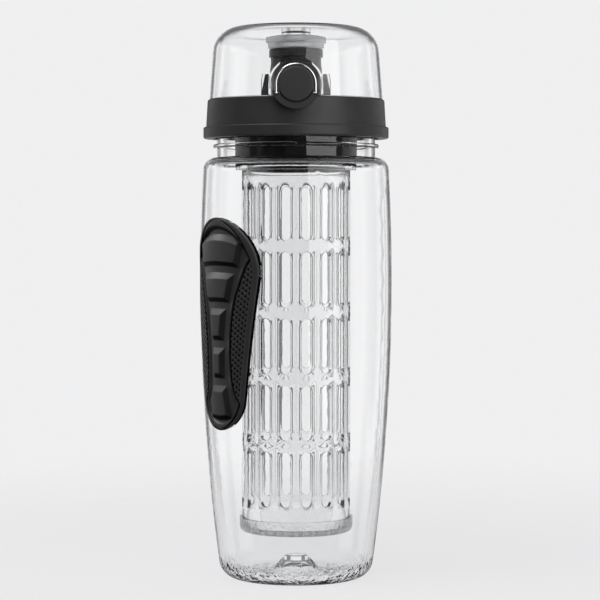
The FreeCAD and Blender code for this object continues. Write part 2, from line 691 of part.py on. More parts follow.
def lid_deck():
    plate = revolved("deck_plate", [
        ("spout_bore", "deck_bottom"),
        ("skirt_bore", "deck_bottom"),
        ("skirt_bore", "skirt_bottom"),
        ("skirt_radius", "skirt_bottom"),
        ("skirt_radius", "deck_bottom"),
        ("collar_bore - seat_gap", "deck_bottom"),
        ("collar_bore - seat_gap", "deck_step - seat_gap"),
        ("collar_mouth - seat_gap", "deck_step - seat_gap"),
        ("collar_mouth - seat_gap", "deck_top"),
        ("spout_radius + seat_gap", "deck_top"),
        ("spout_radius + seat_gap", "spout_seat"),
        ("spout_bore", "spout_seat"),
    ])
    cutters = [
        cylinder("bayonet_groove", "groove_radius", "groove_height", ("0", "0", "groove_bottom")),
        block("stem_channel", ("-channel_half", "channel_half"),
              ("-collar_bore - cut_overrun", "-channel_end"),
              ("channel_floor", "deck_top + cut_overrun")),
    ]
    for number in range(2):
        start = "%d * 180 + 180 / slot_columns + bayonet_turn - tube_lug_angle" % number
        cutters.append(sector("bayonet_entry_%d" % number, "groove_radius", "2 * tube_lug_angle", start,
                              "skirt_bottom - cut_overrun", "groove_bottom - skirt_bottom + 2 * cut_overrun"))
    return cut("lid_deck", plate, cutters)


def drinking_spout():
    spout = revolved("drinking_spout", [
        ("spout_bore", "spout_seat"),
        ("spout_radius", "spout_seat"),
        ("spout_radius", "spout_top - lip_height"),
        ("lip_radius", "spout_top - lip_height"),
        ("lip_radius", "spout_top"),
        ("spout_bore", "spout_top"),
    ])
    round_rings(spout, "lip_round", [("lip_radius", "spout_top"), ("spout_bore", "spout_top")])
    return spout


def hinge_pin():
    return cylinder("hinge_pin", "pin_radius", "2 * lug_outer",
                    ("-lug_outer", "pivot_back", "pivot_height"), SIDEWAYS)


def dome():
    body = revolved("dome", [
        ("dome_foot_radius - dome_wall", "dome_foot"),
        ("dome_foot_radius", "dome_foot"),
        ("dome_crown_radius", "dome_crown_height"),
        ("0", "dome_top", "dome_top_radius"),
        ("0", "dome_ceiling"),
        ("dome_inner_crown", "dome_inner_crown_height", "-dome_inner_top_radius"),
    ])
    round_rings(body, "dome_corner_radius", [("dome_crown_radius", "dome_crown_height")])
    round_rings(body, "dome_corner_radius - dome_wall", [("dome_inner_crown", "dome_inner_crown_height")])
    return body


def arch_outline(radius):
    """An upright arch over the button, open at the foot of the dome."""
    return [
        (radius, "dome_foot"),
        (radius, "button_height"),
        ("0", "button_height + " + radius, radius),
        ("-" + radius, "button_height", radius),
        ("-" + radius, "dome_foot"),
    ]


def flip_cap():
    opening = padded("arch_opening", "XZ_Plane", arch_outline("arch_radius"),
                     "button_front + cut_overrun - notch_front", "notch_front")
    foot = block("arch_foot", ("-arch_radius", "arch_radius"),
                 ("-button_front - cut_overrun", "-notch_front"),
                 ("dome_foot - cut_overrun", "button_height"))
    notch = block("hinge_notch", ("-notch_half", "notch_half"),
                  ("notch_front", "pivot_back + knuckle_radius"), ("dome_foot - cut_overrun", "notch_top"))
    shell = cut("dome_open", dome(), [opening, foot, notch])
    arch = padded("arch_whole", "XZ_Plane", arch_outline("arch_outer"), "arch_front - arch_back", "arch_back")
    rim = cut("arch_ring", arch, [opening, foot])
    ears = []
    for name, low, high in (("left", "-ear_side", "-ear_root"), ("right", "ear_root", "ear_side")):
        ears.append(block("ear_" + name, (low, high), ("-ear_front", "ear_depth - ear_front"),
                          ("dome_foot", "ear_top")))
    sill = block("catch_sill", ("-ear_root", "ear_root"), ("-ear_front", "-sill_back"),
                 ("dome_foot", "dome_foot + sill_height"))
    boss = cylinder("seal_boss", "seal_boss_radius", "dome_top - dome_wall / 2 - seal_socket",
                    ("0", "0", "seal_socket"))
    knuckles = padded("knuckle_bar", "YZ_Plane", hinge_outline("-", "web_root", "notch_top", "web_top"),
                      "2 * cap_knuckle_outer", symmetric=True)
    front = fuse("cap_front", [shell, rim, sill] + ears)
    solid = fuse("cap_solid", [fuse("cap_crown", [front, boss]), knuckles])
    return cut("flip_cap", solid, [
        block("spring_space", ("-cap_knuckle_inner", "cap_knuckle_inner"),
              ("web_root - dome_wall", "pivot_back + knuckle_radius + cut_overrun"),
              ("dome_foot - cut_overrun", "notch_top")),
        cylinder("knuckle_hole", "pin_radius + pin_gap", "2 * lug_outer",
                 ("-lug_outer", "pivot_back", "pivot_height"), SIDEWAYS),
    ])


def spout_seal():
    return revolved("spout_seal", [
        ("0", "seal_bottom - plug_depth"),
        ("plug_tip_radius", "seal_bottom - plug_depth"),
        ("plug_radius", "seal_bottom"),
        ("seal_radius", "seal_bottom"),
        ("seal_radius", "seal_bottom + seal_step_height"),
        ("seal_top_radius", "seal_bottom + seal_step_height"),
        ("seal_top_radius", "seal_top"),
        ("seal_boss_radius + seat_gap", "seal_top"),
        ("seal_boss_radius + seat_gap", "seal_socket - seat_gap"),
        ("0", "seal_socket - seat_gap"),
    ])


def release_button():
    body = new_body("release_button")
    face = new_sketch(body, "button_face", "XZ_Plane", "button_back")
    circle_at(face, "0", "button_height", "button_radius")
    head = body.newObject("PartDesign::Pad", "button_head")
    head.Profile = face
    head.setExpression("Length", bound("button_thickness"))
    doc.recompute()
    front = value("-button_front")
    rims = ["Edge%d" % number for number, edge in enumerate(head.Shape.Edges, start=1)
            if all(abs(corner.Y - front) < value("seat_gap") for corner in edge.Vertexes)]
    rounding = body.newObject("PartDesign::Fillet", "button_rounding")
    rounding.Base = (head, rims)
    rounding.setExpression("Radius", bound("button_round"))
    side = new_sketch(body, "stem_side", "YZ_Plane")
    draw(side, [
        ("-button_back - button_round", "stem_bottom"),
        ("-stem_end", "stem_bottom"),
        ("-stem_end", "hook_top"),
        ("-nose_tip", "hook_top"),
        ("-nose_tip", "hook_top - nose_height"),
        ("-hook_front", "hook_top - nose_height"),
        ("-hook_front", "stem_top"),
        ("-button_back - button_round", "stem_top"),
    ])
    stem = body.newObject("PartDesign::Pad", "button_stem")
    stem.Profile = side
    stem.setExpression("Length", bound("2 * stem_half"))
    stem.SideType = "Symmetric"
    doc.recompute()
    return body


def lock_bail():
    body = new_body("lock_bail")
    route = new_sketch(body, "bail_route", "XZ_Plane", "bail_back")
    radius = value("bail_radius")
    middle = value("button_height")
    low = value("bail_pivot_height")
    spots = [FreeCAD.Vector(side * radius, height, 0) for side, height in
             ((1, low), (1, middle), (-1, middle), (-1, low))]
    circle = Part.Circle(FreeCAD.Vector(0, middle, 0), FreeCAD.Vector(0, 0, 1), radius)
    legs = [route.addGeometry(Part.LineSegment(spots[0], spots[1])),
            route.addGeometry(Part.ArcOfCircle(circle, 0, math.pi)),
            route.addGeometry(Part.LineSegment(spots[2], spots[3]))]
    route.addConstraint(Sketcher.Constraint("Tangent", legs[0], 2, legs[1], 1))
    route.addConstraint(Sketcher.Constraint("Coincident", legs[1], 2, legs[2], 1))
    hold_point(route, legs[0], 1, ("bail_radius", "bail_pivot_height"))
    hold_point(route, legs[0], 2, ("bail_radius", "button_height"))
    hold_point(route, legs[2], 1, ("-bail_radius", "button_height"))
    hold_point(route, legs[2], 2, ("-bail_radius", "bail_pivot_height"))
    section = new_sketch(body, "bail_section", "XY_Plane", "bail_pivot_height")
    circle_at(section, "bail_radius", "-bail_back", "bail_half")
    bow = body.newObject("PartDesign::AdditivePipe", "bail_bow")
    bow.Profile = section
    bow.Spine = (route, [])
    for name, start in (("right", "bail_pin_end"), ("left", "-bail_radius - bail_half")):
        end = new_sketch(body, "bail_pin_%s_section" % name, "YZ_Plane", start)
        circle_at(end, "-bail_back", "bail_pivot_height", "bail_half")
        pin = body.newObject("PartDesign::Pad", "bail_pin_" + name)
        pin.Profile = end
        pin.setExpression("Length", bound("bail_radius + bail_half - bail_pin_end"))
    doc.recompute()
    return body


def circle_at(sketch, across, up, radius):
    circle = Part.Circle(FreeCAD.Vector(value(across), value(up), 0), FreeCAD.Vector(0, 0, 1), value(radius))
    geometry = sketch.addGeometry(circle)
    number = sketch.addConstraint(Sketcher.Constraint("Radius", geometry, value(radius)))
    sketch.setExpression("Constraints[%d]" % number, bound(radius))
    hold_point(sketch, geometry, 3, (across, up))


def polar_holes(body, name, role, outlines, count, offset=None):
    """Cut outlines through a body and repeat the cut round the bottle's axis."""
    sketch = new_sketch(body, name + "_outline", role, offset)
    outlines(sketch)
    before = body.Shape.Volume
    pocket = body.newObject("PartDesign::Pocket", name + "_cut")
    pocket.Profile = sketch
    pocket.Type = "ThroughAll"
    doc.recompute()
    if not pocket.Shape.Volume < before:
        raise ValueError(name + " cuts nothing")
    ring = body.newObject("PartDesign::PolarPattern", name + "_ring")
    ring.Originals = [pocket]
    ring.Axis = (next(item for item in body.Origin.OriginFeatures if item.Role == "Z_Axis"), [""])
    ring.Angle = 360
    ring.setExpression("Occurrences", bound(count))
    body.Tip = ring
    doc.recompute()


def slot_cutters():
    """One column of round-ended slots, driven through the wall and repeated round the tube."""
    sketch = doc.addObject("Sketcher::SketchObject", "slot_column")
    place(sketch, ("0", "cut_overrun - tube_bore", "0"), FRONT)
    for row in range(int(value("slot_rows"))):
        high = "(slot_top - %d * slot_pitch)" % row
        draw(sketch, rounded_slot("slot_half", "(%s - slot_length)" % high, high))
    prisms = doc.addObject("Part::Extrusion", "slot_prisms")
    prisms.Base = sketch
    prisms.DirMode = "Normal"
    prisms.Solid = True
    prisms.setExpression("LengthFwd", bound("tube_wall + 2 * cut_overrun"))
    doc.recompute()
    count = int(value("slot_columns"))
    turned = []
    for column in range(count):
        turned.append(prisms.Shape.copy())
        turned[-1].rotate(FreeCAD.Vector(), FreeCAD.Vector(0, 0, 1), 360 * column / count)
    ring = doc.addObject("Part::Feature", "slot_ring")
    ring.Shape = Part.makeCompound(turned)
    return ring


def infuser_basket():
    tube = revolved("infuser_tube", [
        ("tube_bore", "tube_bottom"),
        ("tube_radius", "tube_bottom"),
        ("tube_radius", "tube_flange_bottom"),
        ("tube_flange_radius", "tube_flange_bottom"),
        ("tube_flange_radius", "tube_flange_top"),
        ("tube_radius", "tube_flange_top"),
        ("tube_radius", "tube_top"),
        ("tube_bore", "tube_top"),
    ])

    slotted = cut("slotted_tube", tube, [slot_cutters()])
    lugs = []
    for number in range(2):
        start = "%d * 180 - tube_lug_angle / 2" % number
        slice_whole = sector("tube_lug_slice_%d" % number, "tube_lug_radius", "tube_lug_angle", start,
                             "tube_lug_bottom", "tube_lug_height")
        core = cylinder("tube_lug_core_%d" % number, "tube_radius - tube_wall / 2", "tube_lug_height",
                        ("0", "0", "tube_lug_bottom"))
        lugs.append(cut("tube_lug_%d" % number, slice_whole, [core]))
    basket = fuse("infuser_basket", [slotted] + lugs)
    basket.Placement = FreeCAD.Placement(
        FreeCAD.Vector(), FreeCAD.Rotation(FreeCAD.Vector(0, 0, 1), value("180 / slot_columns")))
    basket.setExpression("Placement.Rotation.Angle", bound("180 / slot_columns * 1 deg"))
    return basket


def infuser_base():
    cup = revolved("infuser_base", [
        ("0", "strainer_bottom"),
        ("strainer_radius", "strainer_bottom"),
        ("strainer_radius", "strainer_top"),
        ("strainer_bore", "strainer_top"),
        ("strainer_bore", "strainer_seat"),
        ("0", "strainer_seat"),
    ])
    round_rings(cup, "strainer_round", [("strainer_radius", "strainer_bottom")])

    def holes(sketch):
        circle_at(sketch, "strainer_ring_radius", "0", "strainer_hole_radius")
        circle_at(sketch, "strainer_ring_radius / 2", "0", "strainer_hole_radius")

    polar_holes(cup, "drain", "XY_Plane", holes, "strainer_ring_count", "strainer_top")
    return cup


def biarc(start, start_way, end, end_way):
    """Two tangent arcs from one point and direction to another."""
    chord = end - start
    ways = start_way + end_way
    spread = 2 * (1 - start_way.dot(end_way))
    lean = chord.dot(ways)
    reach = (math.sqrt(lean ** 2 + spread * chord.dot(chord)) - lean) / spread
    corners = (start + start_way * reach, end - end_way * reach)
    middle = (corners[0] + corners[1]) / 2
    edges = []
    for first, corner, last in ((start, corners[0], middle), (middle, corners[1], end)):
        half = (last - first) / 2
        centre = first + half
        out = corner - centre
        lift = half.Length * math.tan(math.atan2(out.Length, half.Length) / 2)
        edges.append(Part.Arc(first, centre + out.normalize() * lift, last).toShape())
    return edges


def wound_tube(name, radius, wire, pitch, turns, leg):
    """A helix of round wire about its own Z axis, with straight legs along its end tangents."""
    def spot(turn):
        angle = 2 * math.pi * turn
        return FreeCAD.Vector(radius * math.cos(angle), radius * math.sin(angle), pitch * turn)

    def way(turn):
        angle = 2 * math.pi * turn
        around = 2 * math.pi * radius
        return FreeCAD.Vector(-around * math.sin(angle), around * math.cos(angle), pitch).normalize()

    quarters = int(round(4 * turns))
    edges = []
    for quarter in range(quarters):
        first = quarter / 4
        last = (quarter + 1) / 4
        edges += biarc(spot(first), way(first), spot(last), way(last))
    start = spot(0)
    if leg > 0:
        start = spot(0) - way(0) * leg
        edges.insert(0, Part.LineSegment(start, spot(0)).toShape())
        edges.append(Part.LineSegment(spot(turns), spot(turns) + way(turns) * leg).toShape())
    path = Part.Wire(edges)
    section = Part.Wire(Part.Circle(start, way(0), wire / 2).toShape())
    item = doc.addObject("Part::Feature", name)
    item.Shape = path.makePipeShell([section], True, False)
    samples = path.discretize(Number=quarters * 12)
    apart = len(samples) * 3 // quarters
    least = min((first - second).Length for index, first in enumerate(samples)
                for second in samples[index + apart:])
    print("%s: least gap to itself %.2f mm" % (name, least - wire))
    return item


def cap_spring():
    turns = value("cap_spring_turns") + 1 / 2
    coil = wound_tube("cap_spring", value("cap_spring_radius"), value("cap_spring_wire"),
                      value("cap_spring_pitch"), turns, value("cap_spring_leg"))
    spot = FreeCAD.Vector(-turns * value("cap_spring_pitch") / 2, value("pivot_back"), value("pivot_height"))
    coil.Placement = FreeCAD.Placement(spot, SIDEWAYS)
    return coil


def button_spring():
    coil = wound_tube("button_spring", value("button_spring_radius"), value("button_spring_wire"),
                      value("button_spring_pitch"), value("button_spring_turns"), 0)
    seat = value("channel_end + seat_gap + button_spring_wire / 2")
    coil.Placement = FreeCAD.Placement(
        FreeCAD.Vector(0, -seat, value("stem_bottom + stem_height / 2")), FRONT)
    return coil


def check(nodes):
    """Stop on any object that failed, and on any piece that isn't one sound solid."""
    for item in doc.Objects:
        if "Invalid" in item.State or "Error" in item.State:
            raise ValueError("%s failed: %s" % (item.Name, item.getStatusString()))
    for node in nodes:
        shape = node.Shape
        if shape.isNull() or not shape.isValid() or len(shape.Solids) != 1:
            raise ValueError("%s isn't one sound solid" % node.Label)


ALIASES = {alias for alias, number, words in SIZES}
fill_sheet()
NODES = [
    bottle_body(), grip_pad(), neck_gasket(), lid_collar(), lid_deck(), drinking_spout(), hinge_pin(),
    cap_spring(), flip_cap(), spout_seal(), release_button(), button_spring(), lock_bail(),
    infuser_basket(), infuser_base(),
]
doc.recompute()
check(NODES)
os.makedirs("parts", exist_ok=True)
for node in NODES:
    node.Shape.exportStep("parts/%s.step" % node.Label)
    box = node.Shape.BoundBox
    print("%s: %.0f mm3, x %.1f to %.1f, y %.1f to %.1f, z %.1f to %.1f" % (
        node.Label, node.Shape.Volume, box.XMin, box.XMax, box.YMin, box.YMax, box.ZMin, box.ZMax))
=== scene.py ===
# %% [markdown]
# # A fruit infuser water bottle
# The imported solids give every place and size, in metres, with the base on z = 0 and the front
# with its button towards -Y. This lesson dresses them: the clear walls, the soft grip, the slotted
# infuser, the catch and the small wound springs each get a mesh or a finish of their own.
# Every finished piece sits at the origin, so its place is in its mesh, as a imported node's is.

import math

import bmesh
import bpy
import numpy as np
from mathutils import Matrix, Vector


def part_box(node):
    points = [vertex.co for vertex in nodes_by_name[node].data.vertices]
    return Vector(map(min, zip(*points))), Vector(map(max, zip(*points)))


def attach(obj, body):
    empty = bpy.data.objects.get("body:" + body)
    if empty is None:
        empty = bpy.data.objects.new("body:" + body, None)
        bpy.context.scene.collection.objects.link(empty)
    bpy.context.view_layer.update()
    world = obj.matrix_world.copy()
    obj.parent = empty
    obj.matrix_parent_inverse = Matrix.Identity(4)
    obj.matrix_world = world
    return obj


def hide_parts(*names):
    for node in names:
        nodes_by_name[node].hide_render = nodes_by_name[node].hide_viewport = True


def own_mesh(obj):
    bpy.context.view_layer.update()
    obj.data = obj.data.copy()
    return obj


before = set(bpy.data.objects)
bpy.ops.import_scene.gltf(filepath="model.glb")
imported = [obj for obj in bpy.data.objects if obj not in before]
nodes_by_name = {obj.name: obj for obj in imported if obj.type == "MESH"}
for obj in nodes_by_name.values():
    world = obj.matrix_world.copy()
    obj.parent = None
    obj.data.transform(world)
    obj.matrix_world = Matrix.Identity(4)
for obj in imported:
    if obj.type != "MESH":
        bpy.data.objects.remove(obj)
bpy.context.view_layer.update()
scene = bpy.context.scene
MM = 0.001

# %% [markdown]
# ## The camera
# The picture was taken from just above the middle of the bottle with a long lens, so upright lines
# stay upright and the rings of the lid show only a little of their curve. A 135 mm lens on a 36 mm
# sensor from a little over a metre gives the same curves.

# %% Place the camera
EYE = Vector((1.9, -1081.5, 168.5)) * MM
EYE_TILT = 1.858
LENS, SENSOR = 135, 36

camera_data = bpy.data.cameras.new("studio_camera")
camera_data.sensor_width = SENSOR
camera_data.lens = LENS
camera = bpy.data.objects.new("studio_camera", camera_data)
camera.location = EYE
camera.rotation_euler = (math.radians(90 - EYE_TILT), 0, 0)
scene.collection.objects.link(camera)
scene.camera = camera
print("camera at", [round(number, 3) for number in EYE], "tilted down by", EYE_TILT, "degrees")

# %% [markdown]
# ## The studio
# A clear thing has no colour of its own: it shows the room, bent at its edges. A photographer
# lights it from pale panels and leaves dark gaps between them, so that the edges, which bend the
# view sideways, turn grey while the middle stays as pale as the wall behind. The world here is
# such a ring of eight panels with a dark band above them and a bright ceiling. Light that a
# polished wall has thrown back comes from a dim front half, as in a studio whose camera stands in
# the dark, so black pieces behind clear ones stay black. The camera sees the plain pale wall, and
# matte surfaces are lit by a grey that grows paler towards the ceiling.

# %% Helpers for node trees
MIX_FIRST, MIX_SECOND, MIX_RESULT = 6, 7, 2  # the colour sockets of a Mix node


def add_node(tree, kind, inputs=(), **settings):
    """A node with its properties set and its inputs filled, each by a socket or a plain value."""
    item = tree.nodes.new(kind)
    for name, setting in settings.items():
        setattr(item, name, setting)
    for key, given in dict(inputs).items():
        if isinstance(given, bpy.types.NodeSocket):
            tree.links.new(given, item.inputs[key])
        else:
            item.inputs[key].default_value = given
    return item


def output_of(tree, kind, inputs=(), **settings):
    """The first output of a new node."""
    return add_node(tree, kind, inputs, **settings).outputs[0]


def math_node(tree, operation, *operands):
    """A Math node. Each operand is a number or another node's socket."""
    return output_of(tree, "ShaderNodeMath", enumerate(operands), operation=operation)


def times(tree, first, second):
    """The product of two numbers or sockets."""
    return math_node(tree, "MULTIPLY", first, second)


def smooth_range(tree, source, low, high, to_low, to_high):
    """A Map Range node with soft ends."""
    limits = {"Value": source, "From Min": low, "From Max": high,
              "To Min": to_low, "To Max": to_high}
    return output_of(tree, "ShaderNodeMapRange", limits, interpolation_type="SMOOTHSTEP")


def mix_colours(tree, factor, first, second):
    """A colour Mix node. The factor is a socket; each colour is a socket or three numbers."""
    mix = add_node(tree, "ShaderNodeMix", data_type="RGBA")
    tree.links.new(factor, mix.inputs["Factor"])
    for place, side in ((MIX_FIRST, first), (MIX_SECOND, second)):
        if isinstance(side, bpy.types.NodeSocket):
            tree.links.new(side, mix.inputs[place])
        else:
            mix.inputs[place].default_value = (*side, 1)
    return mix.outputs[MIX_RESULT]


print("node helpers ready")

# %% The world: a ring of pale panels
PANELS = 8
WHITE = (0.95, 0.95, 0.955)
GAP = (0.16, 0.16, 0.17)
# Where a gap starts and is full, in panel widths from a panel's middle
GAP_EDGES = (0.25, 0.42)
# Upward parts of a ray's direction, where each of these starts and is full
GAPS_BEGIN, DARK_BAND, CEILING = (-0.2, -0.12), (0.2, 0.32), (0.62, 0.8)

world = bpy.data.worlds.new("studio_room")
scene.world = world
world.use_nodes = True
room = world.node_tree
room.nodes.clear()
direction = add_node(room, "ShaderNodeTexCoord").outputs["Generated"]
ray = add_node(room, "ShaderNodeSeparateXYZ", {0: direction}).outputs
azimuth = math_node(room, "ARCTAN2", ray["X"], ray["Y"])
turns = times(room, azimuth, PANELS / (2 * math.pi))
from_panel = math_node(room, "PINGPONG", turns, 0.5)
near_horizon = smooth_range(room, ray["Z"], *GAPS_BEGIN, 0, 1)
gap_sideways = smooth_range(room, from_panel, *GAP_EDGES, 0, near_horizon)
gap_above = smooth_range(room, ray["Z"], *DARK_BAND, 0, 1)
below_ceiling = smooth_range(room, ray["Z"], *CEILING, 1, 0)
any_gap = math_node(room, "MAXIMUM", gap_sideways, gap_above)
panels = mix_colours(room, times(room, any_gap, below_ceiling), WHITE, GAP)
print("a ring of", PANELS, "panels")

# %% The world: what each kind of ray sees
WALL = (0.868, 0.868, 0.878)
FILL_BELOW = (0.03, 0.03, 0.03)
FILL_ABOVE = (0.7, 0.7, 0.705)
FILL_SPAN = (-0.2, 1)
DARK = (0, 0, 0)
FRONT_SHARE = 0.04
# Backward parts of a ray's direction, where the dim front ends for mirrored and for bent rays
MIRRORED_FRONT, BENT_FRONT = (-0.2, 0.15), (-0.7, -0.25)

path = add_node(room, "ShaderNodeLightPath").outputs
behind = smooth_range(room, ray["Y"], *MIRRORED_FRONT, FRONT_SHARE, 1)
mirrored = mix_colours(room, behind, DARK, panels)
beside = smooth_range(room, ray["Y"], *BENT_FRONT, FRONT_SHARE, 1)
straight = math_node(room, "LESS_THAN", path["Glossy Depth"], 0.5)
bent = mix_colours(room, math_node(room, "MAXIMUM", beside, straight), DARK, panels)
upward = smooth_range(room, ray["Z"], *FILL_SPAN, 0, 1)
fill = mix_colours(room, upward, FILL_BELOW, FILL_ABOVE)
seen = mix_colours(room, path["Is Camera Ray"], fill, WALL)
seen = mix_colours(room, path["Is Glossy Ray"], seen, mirrored)
seen = mix_colours(room, path["Is Transmission Ray"], seen, bent)
background = output_of(room, "ShaderNodeBackground", {"Color": seen})
add_node(room, "ShaderNodeOutputWorld", {"Surface": background})
print("world", world.name, "has", len(room.nodes), "nodes")

# %% Softboxes
AIM = Vector((0, 0, 0.14))


def softbox(name, azimuth_deg, distance, height, size, radiance):
    """A rectangular lamp that faces the bottle. Its azimuth counts from the front to the right."""
    lamp = bpy.data.lights.new(name, "AREA")
    lamp.shape = "RECTANGLE"
    lamp.size, lamp.size_y = size
    lamp.energy = radiance * math.pi * size[0] * size[1]
    holder = bpy.data.objects.new(name, lamp)
    turn = math.radians(azimuth_deg)
    holder.location = (distance * math.sin(turn), -distance * math.cos(turn), height)
    holder.rotation_euler = (AIM - holder.location).to_track_quat("-Z", "Y").to_euler()
    holder.visible_camera = False
    holder.visible_transmission = False
    scene.collection.objects.link(holder)
    return holder


softbox("key_softbox", azimuth_deg=37, distance=1.05, height=0.34, size=(0.88, 1.2), radiance=2.8)
top_softbox = softbox("top_softbox", azimuth_deg=-40, distance=0.5, height=1.15,
                      size=(0.8, 0.7), radiance=5.0)
rear_softbox = softbox("rear_softbox", azimuth_deg=-122, distance=0.9, height=0.8,
                       size=(0.6, 0.5), radiance=5.0)
scene.view_settings.view_transform = "Standard"
scene.cycles.max_bounces = 32
scene.cycles.transmission_bounces = 28
scene.cycles.transparent_max_bounces = 32
print("three softboxes")

# %% [markdown]
# The floor is a disc that fades into the wall's colour before it ends, so no edge shows. It is lit
# by the lamps, and to the camera and through clear walls it also shines a little of its own, as a
# table lit from below does, which keeps the bottle's shadow soft and faint.

# %% The floor
FLOOR_REACH, FLOOR_DROP = 0.9, 0.0002
FLOOR_GREY = (0.16, 0.16, 0.162)
FLOOR_GLOW = 0.72
FLOOR_FADE = (0.12, 0.6)

floor_mesh = bpy.data.meshes.new("floor")
shaper = bmesh.new()
bmesh.ops.create_circle(shaper, cap_ends=True, radius=FLOOR_REACH, segments=96)
shaper.to_mesh(floor_mesh)
shaper.free()
floor = bpy.data.objects.new("floor", floor_mesh)
floor.location.z = -FLOOR_DROP
scene.collection.objects.link(floor)

floor_paint = bpy.data.materials.new("pale_floor")
floor_paint.use_nodes = True
tree = floor_paint.node_tree
matte = tree.nodes["Principled BSDF"]
matte.inputs["Base Color"].default_value = (*FLOOR_GREY, 1)
matte.inputs["Roughness"].default_value = 0.8
matte.inputs["Specular IOR Level"].default_value = 0.1
matte.inputs["Emission Color"].default_value = (*WALL, 1)
path = add_node(tree, "ShaderNodeLightPath").outputs
in_view = math_node(tree, "MAXIMUM", path["Is Camera Ray"], path["Is Transmission Ray"])
tree.links.new(times(tree, in_view, FLOOR_GLOW), matte.inputs["Emission Strength"])
spot = add_node(tree, "ShaderNodeTexCoord").outputs["Object"]
reach = add_node(tree, "ShaderNodeVectorMath", {0: spot}, operation="LENGTH").outputs["Value"]
fade = smooth_range(tree, reach, *FLOOR_FADE, 0, 1)
clear = output_of(tree, "ShaderNodeBsdfTransparent")
blend = output_of(tree, "ShaderNodeMixShader", {0: fade, 1: matte.outputs[0], 2: clear})
tree.links.new(blend, tree.nodes["Material Output"].inputs["Surface"])
floor_mesh.materials.append(floor_paint)
print("floor of", FLOOR_REACH, "m")

# %% [markdown]
# ## Finishes
# Moulded plastic is never quite even: the mould leaves a fine grain, and the colour and gloss drift
# a little over the piece. One node group gives all the plastics those two, each at its own scale.


# %% A shared group: moulded grain
def moulded_grain_group():
    """Two noises over a piece: a fine height, and a slow drift."""
    group = bpy.data.node_groups.new("moulded_grain", "ShaderNodeTree")
    for name, number in (("Grain Scale", 1500.0), ("Drift Scale", 40.0)):
        socket = group.interface.new_socket(name, in_out="INPUT", socket_type="NodeSocketFloat")
        socket.default_value = number
    for name in ("Grain Height", "Drift"):
        group.interface.new_socket(name, in_out="OUTPUT", socket_type="NodeSocketFloat")
    given = add_node(group, "NodeGroupInput").outputs
    result = add_node(group, "NodeGroupOutput").inputs
    spot = add_node(group, "ShaderNodeTexCoord").outputs["Object"]
    noises = (("Grain Scale", 2.0, "Grain Height"), ("Drift Scale", 3.0, "Drift"))
    for scale, detail, target in noises:
        noise = add_node(group, "ShaderNodeTexNoise",
                         {"Vector": spot, "Scale": given[scale], "Detail": detail})
        group.links.new(noise.outputs["Fac"], result[target])
    return group


MOULDED_GRAIN = moulded_grain_group()
print("group", MOULDED_GRAIN.name)

# %% Helpers for finishes
DRIFT_SPAN = (0.3, 0.7)


def new_finish(name, base, roughness):
    """A material with its Principled node set to plain values."""
    material = bpy.data.materials.new(name)
    material.use_nodes = True
    shader = material.node_tree.nodes["Principled BSDF"]
    shader.inputs["Base Color"].default_value = (*base, 1)
    shader.inputs["Roughness"].default_value = roughness
    return material, material.node_tree, shader


def place_grain(tree, grain, drift):
    """The outputs of the shared group, at a piece's own scales."""
    group = add_node(tree, "ShaderNodeGroup", node_tree=MOULDED_GRAIN)
    group.inputs["Grain Scale"].default_value = grain
    group.inputs["Drift Scale"].default_value = drift
    return group.outputs


def drift_gloss(tree, shader, drift, gloss, span=DRIFT_SPAN):
    """Roughness that wanders between two values."""
    tree.links.new(smooth_range(tree, drift, *span, *gloss), shader.inputs["Roughness"])


def raise_surface(tree, shader, height, strength, depth):
    """A Bump node on the shader, its depth in metres."""
    settings = {"Height": height, "Strength": strength, "Distance": depth}
    tree.links.new(output_of(tree, "ShaderNodeBump", settings), shader.inputs["Normal"])


print("finish helpers ready")

# %% Black plastics
GRAIN_DEPTH = 0.0001


def grained(name, tones, gloss, grain, drift, bump, specular):
    """A dark moulded finish: grain, colour drift and gloss drift from the shared group."""
    material, tree, shader = new_finish(name, tones[0], gloss[0])
    shader.inputs["Specular IOR Level"].default_value = specular
    group = place_grain(tree, grain, drift)
    tree.links.new(mix_colours(tree, group["Drift"], *tones), shader.inputs["Base Color"])
    drift_gloss(tree, shader, group["Drift"], gloss)
    raise_surface(tree, shader, group["Grain Height"], bump, GRAIN_DEPTH)
    return material


lid_black = grained("lid_black", tones=((0.02, 0.02, 0.0205), (0.03, 0.03, 0.0305)),
                    gloss=(0.4, 0.5), grain=1800, drift=60, bump=0.35, specular=0.3)
spout_dark = grained("spout_dark", tones=((0.012, 0.012, 0.0125), (0.018, 0.018, 0.0185)),
                     gloss=(0.28, 0.38), grain=1600, drift=60, bump=0.2, specular=0.35)
# Painted shade: the skirt under the collar, behind the neck's glass, has the lid's black made
# darker and nearly without shine
skirt_painted_shade = grained("skirt_painted_shade", tones=((0.005, 0.005, 0.005), (0.008, 0.008, 0.008)),
                      gloss=(0.55, 0.65), grain=1800, drift=60, bump=0.3, specular=0.03)
print("three dark finishes")

# %% [markdown]
# Clear walls would throw black shadows, because a lamp can't be found through bent light. So rays
# towards a lamp go straight through, a little dimmed. The bottle's foot is pebbled in a ring.

# %% Helpers for clear plastics
CLEAR_SPAN = (0.35, 0.75)
CLEAR_GRAIN = 900
PEBBLE_SCALE, PEBBLE_RISE = 430.0, 9
PEBBLE_RING = (0.012, 0.016)
PEBBLE_FADE = 0.7


def let_lamps_through(tree, shader, passing):
    """Rays towards a lamp go through and keep the passing colour."""
    is_shadow = add_node(tree, "ShaderNodeLightPath").outputs["Is Shadow Ray"]
    open_way = output_of(tree, "ShaderNodeBsdfTransparent", {"Color": (*passing, 1)})
    sides = {0: is_shadow, 1: shader.outputs[0], 2: open_way}
    blend = output_of(tree, "ShaderNodeMixShader", sides)
    tree.links.new(blend, tree.nodes["Material Output"].inputs["Surface"])


